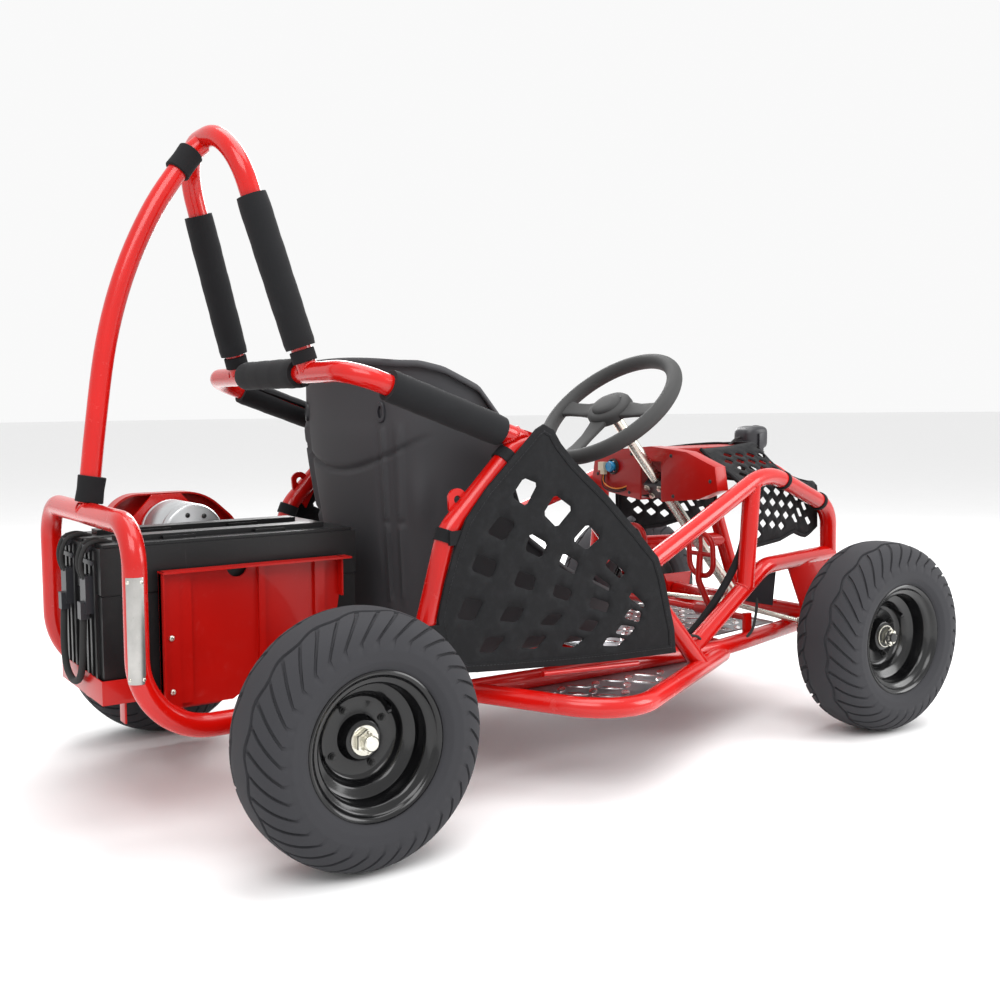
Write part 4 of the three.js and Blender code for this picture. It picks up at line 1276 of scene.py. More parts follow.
    def fittings(self, works: Works, shop: FrameShop) -> None:
        """Bearing housings, motor plate, lugs, ear brackets, strap bands and the data plate."""
        form = Form()
        for _, sign in SIDES:
            place = Matrix.Translation((sign * self.rail_x, 0, 165)) @ Matrix.Rotation(math.pi / 2, 4, "Y")
            form.lathe([(-13, 11), (-13, 26), (-9, 30), (9, 30), (13, 26), (13, 11)], place, 40)
            form.block((sign * 173 - 4, 897, 150), (sign * 173 + 4, 913, 199))
        plate = [(-88, 300), (-88, 400), (-55, 434), (-5, 434), (28, 400), (28, 300), (70, 168), (22, 168)]
        form.prism(plate, -232, -226, UPRIGHT)
        form.block((-230, 24, 140), (-200, 66, 173))
        form.soften(1.0)
        works.add(form, "frame_lugs", Paint.RED)
        ears = Form()
        for _, sign in SIDES:
            ring = polygon(20, 16)
            spot = Matrix.Translation((sign * 252, 240, 436)) @ UPRIGHT
            outline = [(0, -42), (20, -6)] + [(x - 12, y + 8) for x, y in ring[1:10]] + [(-26, -6)]
            hole = polygon(12, 6, -12, 8)
            plate_with_hole(ears, outline, hole, 2.0, spot)
            gusset = [(304, 500), (344, 540), (384, 528), (352, 490)]
            ears.prism(gusset, sign * 256 - 2, sign * 256 + 2, UPRIGHT)
        works.add(ears, "frame_ears", Paint.RED)
        label = Form()
        rows = []
        for z in (232, 233.5, 300, 366.5, 368):
            inset = 0.35 if z in (232, 368) else 0.0
            rows.append([Vector((203 + (16.6 - inset) * math.cos(a), -229 + (16.6 - inset) * math.sin(a), z))
                         for a in (math.radians(-62 + 8.4 * i) for i in range(11))])
        label.grid(rows)
        works.add(label, "data_plate", Paint.LABEL)
        ways = [(math.cos(math.radians(a)), math.sin(math.radians(a)), 0) for a in (-52, 12)]
        rivets = [Seat((203 + 16.4 * way[0], -229 + 16.4 * way[1], z), way, size=0.8)
                  for way in ways for z in (238, 362)]
        shop.spreader.fix("data_plate_rivets", Part.RIVET, rivets, Paint.ZINC)
        self.collars(works)

    def collars(self, works: Works) -> None:
        """Rubber collars where the spine meets the hoops, and the tape bands on the front frame."""
        def collar(name: str, a: Point, b: Point, radius: float, node: str) -> None:
            """One collar between two points."""
            start, end = Vector(a), Vector(b)
            long = (end - start).length
            form = Form().lathe(
                [(0, 14.6), (0, radius - 1), (1.2, radius), (long * 0.45, radius - 0.8), (long * 0.55, radius - 0.8),
                 (long - 1.2, radius), (long, radius - 1), (long, 14.6)],
                along_axis(start, end - start), 36,
            )
            works.add(form, name, Paint.COLLAR, node)

        collar("spine_sleeve_rear", (0, -226, 447), (0, -220, 484), 20.0, "spine_collar_rear")
        collar("spine_sleeve_top", (0, -83, 917), (0, -60, 947), 19.5, "spine_collar_top")
        form = Form()
        for tube in (self.front()[0], self.front()[0].flipped()):
            line = tube.line()
            for spot in ((167, 1042, 414), (160, 1085, 396)):
                gaps = [(abs(p.x) - spot[0]) ** 2 + (p.y - spot[1]) ** 2 for p in line[1:-1]]
                near = gaps.index(min(gaps)) + 1
                way = (line[near + 1] - line[near - 1]).normalized()
                band = along_axis(line[near] - way * 4.5, way)
                form.lathe([(0, 14.8), (0, 16.6), (1, 17.2), (8, 17.2), (9, 16.6), (9, 14.8)], band, 28)
        works.add(form, "frame_bands", Paint.COLLAR)


def plate_with_hole(
    form: Form, outline: Sequence[tuple[float, float]], hole: Sequence[tuple[float, float]], half: float, place: Matrix
) -> None:
    """Adds a flat plate with one hole in it.

    Args:
        form: The form that it is added to.
        outline: The plate's edge.
        hole: The hole's edge.
        half: Half the thickness.
        place: Where the plate's plane lies.
    """
    count = len(outline)
    points = [Vector(p) for p in (*outline, *hole)]
    edges = [(i, (i + 1) % count) for i in range(count)]
    edges += [(count + i, count + (i + 1) % len(hole)) for i in range(len(hole))]
    spots, _, faces, _, _, _ = delaunay_2d_cdt(points, edges, [], 0, 1e-4)
    kept = [f for f in faces if inside(middle(f, spots), outline) and not inside(middle(f, spots), hole)]
    layers = [[form.bm.verts.new(place @ Vector((p.x, p.y, z))) for p in spots] for z in (-half, half)]
    for face in kept:
        form.bm.faces.new([layers[1][i] for i in face])
        form.bm.faces.new([layers[0][i] for i in reversed(face)])
    for ring in (range(count), range(count, count + len(hole))):
        around = list(ring)
        for a, b in zip(around, around[1:] + around[:1]):
            form.bm.faces.new((layers[0][a], layers[0][b], layers[1][b], layers[1][a]))


def middle(face: Sequence[int], spots: Sequence[Vector]) -> tuple[float, float]:
    """Centre of a face."""
    return (sum(spots[i].x for i in face) / len(face), sum(spots[i].y for i in face) / len(face))


def inside(spot: tuple[float, float], outline: Sequence[tuple[float, float]]) -> bool:
    """Whether a point lies inside an outline."""
    x, y = spot
    found = False
    for (x0, y0), (x1, y1) in zip(outline, [*outline[1:], outline[0]]):
        if (y0 > y) != (y1 > y) and x < (x1 - x0) * (y - y0) / (y1 - y0) + x0:
            found = not found
    return found


# ---------------------------------------------------------------- pads, seat and nets


@dataclass(frozen=True)
class SplitPad:
    """Foam pipe with a slit down its length, pushed over a tube."""

    start: Point
    end: Point
    slit: float
    outer: float = 22.5
    inner: float = 15.4

    def form(self) -> Form:
        """Shape of the pad: a C section with soft edges that wanders a little."""
        a, b = Vector(self.start), Vector(self.end)
        count = max(12, int((b - a).length / 9))
        line = [a.lerp(b, i / count) for i in range(count + 1)]

        def section(share: float, index: int) -> list[tuple[float, float]]:
            """The C section at one place."""
            gap = 0.10 + 0.035 * math.sin(share * 7.0 + self.slit)
            press = 0.35 * math.sin(share * 23 + self.slit * 3) + 0.3 * math.sin(share * 51)
            squeeze = -0.9 if index in (0, count) else 0.0
            outer = self.outer + press * 0.6 + squeeze
            turns = [gap + (math.tau - 2 * gap) * i / 30 for i in range(31)]
            ring = []
            for i, turn in enumerate(turns):
                lip = 1.6 * math.exp(-min(i, 30 - i) * 1.3)
                ring.append(((outer - lip) * math.cos(turn + self.slit), (outer - lip) * math.sin(turn + self.slit)))
            back = []
            for turn in reversed(turns[::2]):
                back.append((self.inner * math.cos(turn + self.slit), self.inner * math.sin(turn + self.slit)))
            return ring + back

        return Form().sweep(line, section)


@dataclass(frozen=True)
class Padding:
    """All five foam pads."""

    def build(self, works: Works) -> None:
        foot, top = Vector((123, 62, 626)), Vector((92, -40, 968))
        back, front = Vector((250, 62, 626)), Vector((250, 345, 525))
        plans: list[tuple[str, SplitPad, bool, str]] = []
        for side, sign in SIDES:
            leg = SplitPad(foot.lerp(top, 0.105), foot.lerp(top, 0.725), 2.2 if sign > 0 else 0.9)
            arm = SplitPad(back.lerp(front, 0.2), back.lerp(front, 0.86), 4.4)
            plans.append((f"foam_leg_{side}", leg, sign < 0, f"roll_pad_{side}"))
            plans.append((f"foam_arm_{side}", arm, sign < 0, f"shoulder_pad_{side}"))
        plans.append(("foam_crossbar", SplitPad((-96, 62, 626), (96, 62, 626), 4.0), False, "crossbar_pad"))
        for name, pad, flip, node in plans:
            form = pad.form()
            if flip:
                form.mirrored()
            piece = works.add(form, name, Paint.FOAM, node, sharp=50.0)
        sleeves = Form()
        for _, sign in SIDES:
            way = (top - foot).normalized()
            way.x *= sign
            low = Vector((foot.x * sign, foot.y, foot.z)).lerp(Vector((top.x * sign, top.y, top.z)), 0.045)
            sleeves.lathe([(0, 14.8), (0, 17.2), (1, 18.2), (17, 18.2), (18, 17.2), (18, 14.8)], along_axis(low, way),
                          32)
        works.add(sleeves, "leg_sleeves", Paint.COLLAR)


@dataclass(frozen=True)
class BucketSeat:
    """Moulded bucket: a pan, a tapering back and side walls in one shell."""

    base_z: float = 189.0
    wall: float = 4.5
    columns: int = 210

    def plan(self) -> list[Vector]:
        """Points of the rim's plan, from the left front round the back to the right front."""
        half = [(0, 172), (70, 175), (125, 186), (165, 206), (188, 236), (197, 275), (200, 330), (200, 400),
                (199, 480), (196, 560), (190, 606)]
        full = [(-x, y) for x, y in reversed(half[1:])] + half
        line = curved([(x, y, 0) for x, y in full], 8)
        lengths = [0.0]
        for a, b in zip(line, line[1:]):
            lengths.append(lengths[-1] + (b - a).length)
        found = []
        for i in range(self.columns + 1):
            want = lengths[-1] * i / self.columns
            k = next((k for k in range(1, len(lengths)) if lengths[k] >= want), len(lengths) - 1)
            t = (want - lengths[k - 1]) / max(1e-9, lengths[k] - lengths[k - 1])
            found.append(line[k - 1].lerp(line[k], t))
        return found

    def rim_height(self, point: Vector) -> float:
        """Height of the rim above the ground at one place."""
        side = ramp(point.y, ((172, 646), (215, 643), (245, 634), (300, 606), (338, 560), (356, 480), (400, 374),
                              (480, 318), (600, 262), (612, 225)))
        crown = 6 * (1 - min(1.0, abs(point.x) / 150) ** 2)
        return side + crown - 4

    def spot(self, rim: Vector, height: float, bulge: float) -> Vector:
        """Place of the wall below a point of the rim.

        Args:
            rim: The point of the rim's plan.
            height: Height above the ground.
            bulge: How far the wall stands out there.

        Returns:
            The place.
        """
        share = ease((height - self.base_z) / 400)
        back = 1 - ease((rim.y - 190) / 140)
        narrow = 0.74 + 0.26 * share
        lean = (1 - share) * 34 * back
        out = Vector((rim.x, rim.y - 330, 0)).normalized() * bulge
        breadth = narrow * back + (0.86 + 0.14 * share) * (1 - back)
        return Vector((rim.x * breadth + out.x, rim.y + lean + out.y, height))

    def relief(self, x: float, z: float, back: float) -> float:
        """Moulded ribs and steps of the back, in millimetres outward."""
        ribs = sum(6.5 * math.exp(-(((abs(x) - at) / 4.4) ** 4)) for at in (120, 148))
        ribs = ribs * ease((z - 262) / 30) * ease((560 - z) / 24)
        ribs *= 1 - 0.8 * math.exp(-(((z - 402) / 5) ** 2))
        arc = 478 + 0.0016 * x * x
        groove = -5.5 * math.exp(-(((z - arc) / 4.6) ** 4))
        panel = 3.0 * ease((112 - abs(x)) / 10) * ease((z - 300) / 50) * ease((560 - z) / 30)
        wing = 15.0 * math.exp(-(((abs(x) - 180) / 15) ** 2) - ((z - 440) / 42) ** 2)
        return (ribs + groove + panel + wing) * back

    def pan_row(self, plan: Sequence[Vector], reach: float, rise: float) -> list[Vector]:
        """Row of the pan, or of its rounded edge.

        Args:
            plan: The rim's plan.
            reach: How far the row lies from the middle, as a share.
            rise: Its height above the pan.

        Returns:
            The row's points.
        """
        row = []
        for rim in plan:
            foot = self.spot(rim, self.base_z + 36, 0)
            middle_y = max(240, min(foot.y, 590))
            top = min(rise, max(4.0, self.rim_height(rim) - self.base_z - 6))
            row.append(Vector((foot.x * reach, middle_y + (foot.y - middle_y) * reach, self.base_z + top)))
        return row

    def build(self, works: Works, spreader: Spreader) -> None:
        """Makes the shell, its rolled rim and its belt slots."""
        plan = self.plan()
        rows: list[list[Vector]] = []
        for share in (0.0, 0.25, 0.5, 0.72, 0.86):
            rows.append(self.pan_row(plan, share, 0.0))
        for t in (0.15, 0.4, 0.7, 1.0):
            angle = t * math.pi / 2
            rows.append(self.pan_row(plan, 0.86 + 0.14 * math.sin(angle), 36 * (1 - math.cos(angle))))
        steps = 108
        for i in range(1, steps + 1):
            row = []
            for rim in plan:
                low = min(self.base_z + 36, self.rim_height(rim) - 6)
                height = low + (self.rim_height(rim) - low) * i / steps
                back = 1 - ease((rim.y - 200) / 40)
                row.append(self.spot(rim, height, self.relief(rim.x, height, back)))
            rows.append(row)
        for out, drop in ((2.5, -2.2), (6.0, -2.0), (8.0, 1.5), (8.4, 6.0)):
            rows.append([self.spot(rim, self.rim_height(rim) - 0.01, out) + Vector((0, 0, -drop)) for rim in plan])
        form = Form().grid(rows)
        bmesh.ops.remove_doubles(form.bm, verts=form.bm.verts, dist=0.05)
        bmesh.ops.dissolve_degenerate(form.bm, edges=form.bm.edges, dist=0.02)
        shell = form.piece("seat_bucket", works, Paint.SEAT, 60.0)
        thick = shell.modifiers.new("wall", "SOLIDIFY")
        thick.thickness = self.wall * MM
        thick.offset = 0.0
        works.fit(shell, "chassis", Paint.SEAT, "seat_shell")
        slots = Form()
        for x, z in ((-121, 568), (121, 568)):
            turn = Matrix.Rotation(math.copysign(0.32, x), 4, "Z") @ Matrix.Rotation(math.pi / 2, 4, "X")
            place = Matrix.Translation((x, 183.5, z)) @ turn @ Matrix.Scale(2.0, 4, (0, 1, 0))
            slots.lathe([(-9, 4.0), (-9, 7.0), (-7, 8.0), (3.5, 8.0), (5, 7.2), (5, 4.6)], place, 36)
        works.add(slots, "seat_belt_slots", Paint.BLACK)
        bolts = [Seat((x, y, 194.5), (0, 0, 1)) for x in (-110, 110) for y in (290, 480)]
        spreader.fix("seat_bolts", Part.BOLT, bolts, Paint.ZINC)


@dataclass(frozen=True)
class CutNet:
    """Cloth cut from an outline, with openings, laid on a surface."""

    outline: Sequence[tuple[float, float]]
    openings: Sequence[Sequence[tuple[float, float]]]
    pitch: float = 12.0

    def flat(self) -> tuple[list[Vector], list[list[int]], float]:
        """The cloth as even triangles in its own plane.

        Returns:
            The points, the faces and the area in square millimetres.
        """
        rings = [densified(self.outline, self.pitch)] + [densified(rounded(hole), 7.0) for hole in self.openings]
        points: list[Vector] = []
        edges: list[tuple[int, int]] = []
        for ring in rings:
            first = len(points)
            points += [Vector(p) for p in ring]
            edges += [(first + i, first + (i + 1) % len(ring)) for i in range(len(ring))]
        fixed = [Vector(p) for p in points]
        low = (min(p.x for p in fixed), min(p.y for p in fixed))
        high = (max(p.x for p in fixed), max(p.y for p in fixed))
        for row in range(int((high[1] - low[1]) / self.pitch) + 1):
            for column in range(int((high[0] - low[0]) / self.pitch) + 1):
                spot = (low[0] + (column + 0.5 * (row % 2)) * self.pitch, low[1] + row * self.pitch)
                if not inside(spot, self.outline) or any(inside(spot, hole) for hole in self.openings):
                    continue
                if min((Vector(spot) - p).length for p in fixed) > self.pitch * 0.45:
                    points.append(Vector(spot))
        spots, _, faces, _, _, _ = delaunay_2d_cdt(points, edges, [], 0, 1e-4)
        kept = []
        area = 0.0
        for face in faces:
            centre = middle(face, spots)
            if inside(centre, rings[0]) and not any(inside(centre, ring) for ring in rings[1:]):
                a, b, c = (spots[i] for i in face[:3])
                area += abs((b - a).cross(c - a)) / 2
                kept.append(list(face))
        return list(spots), kept, area

    def lay(
        self, name: str, works: Works, surface: Callable[[float, float], Vector], thick: float
    ) -> tuple[bpy.types.Object, float]:
        """Lays the cloth on a surface.

        Args:
            name: The piece's name.
            works: The works.
            surface: Gives the place of a point of the flat cloth.
            thick: The cloth's thickness in millimetres.

        Returns:
            The piece and its flat area in square metres.
        """
        spots, faces, area = self.flat()
        form = Form()
        made = [form.bm.verts.new(surface(p.x, p.y)) for p in spots]
        for face in faces:
            form.bm.faces.new([made[i] for i in face])
        loose = [v for v in form.bm.verts if not v.link_faces]
        bmesh.ops.delete(form.bm, geom=loose, context="VERTS")
        piece = form.piece(name, works, Paint.NET, 70.0)
        wall = piece.modifiers.new("cloth", "SOLIDIFY")
        wall.thickness = thick * MM
        wall.offset = 0.0
        return piece, area * MM * MM


def densified(ring: Sequence[tuple[float, float]], step: float, closed: bool = True) -> list[tuple[float, float]]:
    """A ring, or an open line, with points closer together.

    Args:
        ring: The points.
        step: The widest gap between two points.
        closed: Whether the last point joins the first.

    Returns:
        The points, with others between them.
    """
    found = []
    for (x0, y0), (x1, y1) in zip(ring, [*ring[1:], ring[0]] if closed else ring[1:]):
        count = max(1, math.ceil(math.hypot(x1 - x0, y1 - y0) / step))
        found += [(x0 + (x1 - x0) * i / count, y0 + (y1 - y0) * i / count) for i in range(count)]
    return found if closed else found + [ring[-1]]


def edge_frames(outline: Sequence[tuple[float, float]], step: float) -> list[tuple[Vector, Vector, Vector]]:
    """Points along an outline.

    Args:
        outline: The outline.
        step: The widest gap between two points.

    Returns:
        Each point with its direction and the way inward.
    """
    ring = densified(outline, step)
    cx, cz = sum(p[0] for p in ring) / len(ring), sum(p[1] for p in ring) / len(ring)
    frames = []
    for i, (y, z) in enumerate(ring):
        way = (Vector(ring[(i + 1) % len(ring)]) - Vector(ring[i - 1])).normalized()
        inward = Vector((-way.y, way.x))
        if inward.dot(Vector((cx - y, cz - z))) < 0:
            inward = -inward
        frames.append((Vector((y, z)), way, inward))
    return frames


def rounded(ring: Sequence[tuple[float, float]]) -> list[tuple[float, float]]:
    """The ring with its corners cut back a little, as pulled cloth has."""
    found = []
    for i, (x, y) in enumerate(ring):
        for other in (ring[i - 1], ring[(i + 1) % len(ring)]):
            found.append((x + (other[0] - x) * 0.13, y + (other[1] - y) * 0.13))
    return found


SIDE_OPENINGS = (
    ((328, 472), (355, 462), (335, 429), (307, 446)), ((387, 445), (422, 422), (393, 394), (366, 417)),
    ((287, 419), (316, 406), (297, 381), (263, 396)), ((344, 390), (377, 372), (366, 351), (334, 365)),
    ((449, 397), (478, 375), (451, 356), (423, 374)), ((406, 356), (438, 339), (429, 320), (397, 337)),
    ((495, 340), (528, 316), (516, 307), (488, 330)), ((246, 367), (284, 352), (273, 329), (236, 345)),
    ((322, 337), (355, 324), (347, 304), (312, 316)), ((392, 311), (425, 297), (418, 281), (385, 293)),
    ((471, 318), (499, 298), (496, 289), (463, 307)), ((463, 284), (497, 271), (490, 257), (456, 269)),
    ((539, 285), (566, 262), (561, 257), (532, 277)), ((226, 306), (259, 298), (242, 271), (212, 278)),
    ((300, 287), (332, 281), (317, 261), (284, 267)), ((379, 268), (406, 262), (388, 248), (358, 254)),
    ((451, 251), (475, 245), (460, 231), (433, 238)), ((534, 259), (559, 251), (554, 236), (522, 246)),
    ((517, 236), (547, 229), (534, 217), (504, 224)), ((262, 246), (297, 243), (275, 222), (248, 225)),
    ((337, 239), (373, 235), (356, 218), (323, 222)), ((416, 230), (446, 223), (425, 211), (400, 215)),
    ((489, 220), (527, 213), (513, 203), (479, 207)),
)


@dataclass(frozen=True)
class Nets:
    """Side nets on their sleeves, and the net cover over the nose."""

    plane: float = 274.5

    def side_surface(self, sign: float) -> Callable[[float, float], Vector]:
        """Where each point of a side net lies, in a taut but uneven sheet."""
        def spot(y: float, z: float) -> Vector:
            """One point of the net."""
            pull = 2.2 * math.sin((y + 0.6 * z) / 46.0) * math.sin(z / 61.0) + 1.6 * math.sin((y - z) / 37.0)
            sag = -7.0 * math.exp(-(((y - 400) / 120) ** 2) - ((z - 320) / 90) ** 2)
            edge = -3.0 * ease((230 - z) / 50)
            return Vector((sign * (self.plane + pull * 0.6 + sag + edge), y, z))
        return spot

    def build(self, works: Works, shop: FrameShop) -> None:
        """Makes both side nets and the nose cover."""
        outline = [(364, 548), (350, 541), (306, 500), (262, 458), (228, 418), (206, 372), (192, 330), (180, 280),
                   (194, 214), (226, 199), (300, 193), (403, 186), (520, 181), (634, 178), (628, 216), (612, 268),
                   (601, 306), (590, 336), (549, 380), (490, 436), (424, 492), (396, 520), (382, 540)]
        for side, sign in SIDES:
            net, area = CutNet(outline, SIDE_OPENINGS).lay(f"net_side_{side}", works, self.side_surface(sign), 2.2)
            works.fit(net, "chassis", Paint.NET, f"side_net_{side}")
            hem = works.add(self.hem(outline, sign), f"net_hem_{side}", Paint.NET, sharp=60.0)
            sleeve = works.add(self.sleeve(sign), f"net_sleeve_{side}", Paint.NET, sharp=60.0)
            seam = shop.spreader.fix(f"net_stitches_{side}", Part.STITCH, self.seam(outline, sign), Paint.STITCH)
            rod = Tube(((self.plane * sign - sign * 10, 372, 176), (self.plane * sign - sign * 10, 560, 168)), (), 4.5)
            shop.run(f"net_rod_{side}", [rod], Paint.RED, sides=14)
        self.cover(works, shop)

    def hem(self, outline: Sequence[tuple[float, float]], sign: float) -> Form:
        """Folded edge of a side net, a flat band that follows the outline."""
        fold = ((-0.6, 0.0), (0.4, 2.1), (5.0, 2.3), (12.4, 2.1), (13.0, 0.0), (12.4, -2.1), (5.0, -2.3), (0.4, -2.1))
        spot = self.side_surface(sign)
        rows = []
        for start, _, inward in edge_frames(outline, 14.0):
            row = []
            for reach, lift in fold:
                at = start + inward * reach
                row.append(spot(at.x, at.y) + Vector((sign * lift, 0, 0)))
            rows.append(row)
        return Form().grid(rows, around=True, ends=True)

    def sleeve(self, sign: float) -> Form:
        """Cloth tube round the front leg of the side hoop, with straps on the back leg."""
        hoop = WeldedFrame().side()[0].line()
        leg = [p for p in hoop if p.y > 372 and p.z > 196]
        marks = (leg[0], leg[0].lerp(leg[-1], 0.3), leg[0].lerp(leg[-1], 0.65), leg[-1])
        line = curved([Vector((sign * p.x, p.y, p.z)) for p in marks], 14)

        def section(share: float, index: int) -> list[tuple[float, float]]:
            """Slightly creased round section."""
            ring = []
            for a in turns(24):
                radius = 17.4 + 0.7 * math.sin(3 * a + share * 40) + 0.5 * math.sin(share * 90 + a)
                ring.append((radius * math.cos(a), radius * math.sin(a)))
            return ring

        form = Form().sweep(line, section)
        back = [p for p in hoop if p.y < 330]
        for want in (392.0, 262.0, 484.0):
            seg = min(range(1, len(back)), key=lambda i: abs((back[i].z + back[i - 1].z) / 2 - want))
            a, b = back[seg - 1], back[seg]
            share = 0.5 if abs(b.z - a.z) < 1e-6 else min(1.0, max(0.0, (want - a.z) / (b.z - a.z)))
            spot, way = a.lerp(b, share), (b - a).normalized()
            spot.x *= sign
            way.x *= sign
            form.lathe([(-9, 15.2), (-9, 17.4), (9, 17.4), (9, 15.2)], along_axis(spot, way), 28)
            form.block((sign * 258, spot.y - 6, want - 10), (sign * 275.5, spot.y + 22, want + 10))
        return form

    def seam(self, outline: Sequence[tuple[float, float]], sign: float) -> list[Seat]:
        """Seats of the stitches along the hem."""
        spot = self.side_surface(sign)
        seats = []
        for start, way, inward in edge_frames(outline, 6.2):
            at = start + inward * 9.5
            for face in (2.2, -2.2):
                place = spot(at.x, at.y) + Vector((sign * face, 0, 0))
                seats.append(Seat(place, (sign * face, 0, 0), (0, way.x, way.y)))
        return seats

    def cover_spot(self, s: float, y: float) -> Vector:
        """Place of a point of the nose cover.

        Args:
            s: Distance across the cover from its middle.
            y: Distance along the kart.

        Returns:
            The place.
        """
        fall = max(0.0, y - 1060) * 1.02
        half = 171 - (y - 905) * 0.187
        ridge = 496 - fall
        eave = min(417.0, ridge - 1)
        sign = 1 if s >= 0 else -1
        line = [(0.0, ridge), (46.0, ridge - 1), (half - 4, eave + 4), (half, eave - 8), (half, 306)]
        rest = abs(s)
        for (x0, z0), (x1, z1) in zip(line, line[1:]):
            span = math.hypot(x1 - x0, z1 - z0)
            if rest <= span:
                break
            rest -= span
        share = min(1.0, rest / span)
        wave = 1.6 * math.sin(s / 21.0) * math.sin(y / 27.0)
        lift = wave * (0.8 if abs(s) < 150 else 0.1)
        return Vector((sign * (x0 + (x1 - x0) * share) + wave * 0.4, y, z0 + (z1 - z0) * share + lift))

    def cover(self, works: Works, shop: FrameShop) -> None:
        """Makes the nose cover: a soft mesh over the arch with a corded edge."""
        outline = [(-294, 908), (-250, 906), (-60, 905), (-44, 1058), (44, 1058), (60, 905), (250, 906), (294, 908),
                   (272, 1010), (238, 1100), (208, 1138), (100, 1139), (0, 1139), (-100, 1139), (-208, 1138),
                   (-238, 1100), (-272, 1010)]
        holes = []
        for row in range(-13, 14):
            for column in range(8):
                s, y = row * 20.5, 924 + column * 31 + (row % 2) * 15.5
                hole = [(s - 8.6, y), (s, y - 12.2), (s + 8.6, y), (s, y + 12.2)]
                edge = [(s - 15, y), (s, y - 19), (s + 15, y), (s, y + 19)]
                if all(inside(p, outline) for p in edge):
                    holes.append(hole)
        net, area = CutNet(outline, holes, 13.0).lay("net_nose_cover", works, self.cover_spot, 2.0)
        works.fit(net, "chassis", Paint.NET, "hood_net")
        cords = []
        for sign in (-1, 1):
            for line in ([(294, 908), (272, 1010), (238, 1100), (208, 1138)], [(60, 905), (176, 905), (294, 908)]):
                path = [self.cover_spot(s * sign, y) for s, y in densified(line, 16.0, closed=False)]
                cords.append(StraightTube(tuple(path), (), 3.6))
        path = [self.cover_spot(s, 1139) for s in range(-208, 209, 13)]
        cords.append(StraightTube(tuple(path), (), 3.6))
        border = shop.run("net_nose_border", cords, Paint.NET, sides=12)


# ---------------------------------------------------------------- wheels


@cache
def tyre_section() -> list[Vector]:
    """Half of the tyre's outer section, from the middle of the tread to the bead."""
    half = [(0, 165.0), (14, 164.6), (28, 162.2), (40, 157.4), (49.5, 149), (55, 138), (57.6, 125), (57.4, 112),
            (54, 101), (49.5, 94.5), (47, 92.5)]
    return curved([(x, r, 0) for x, r in half], 10)


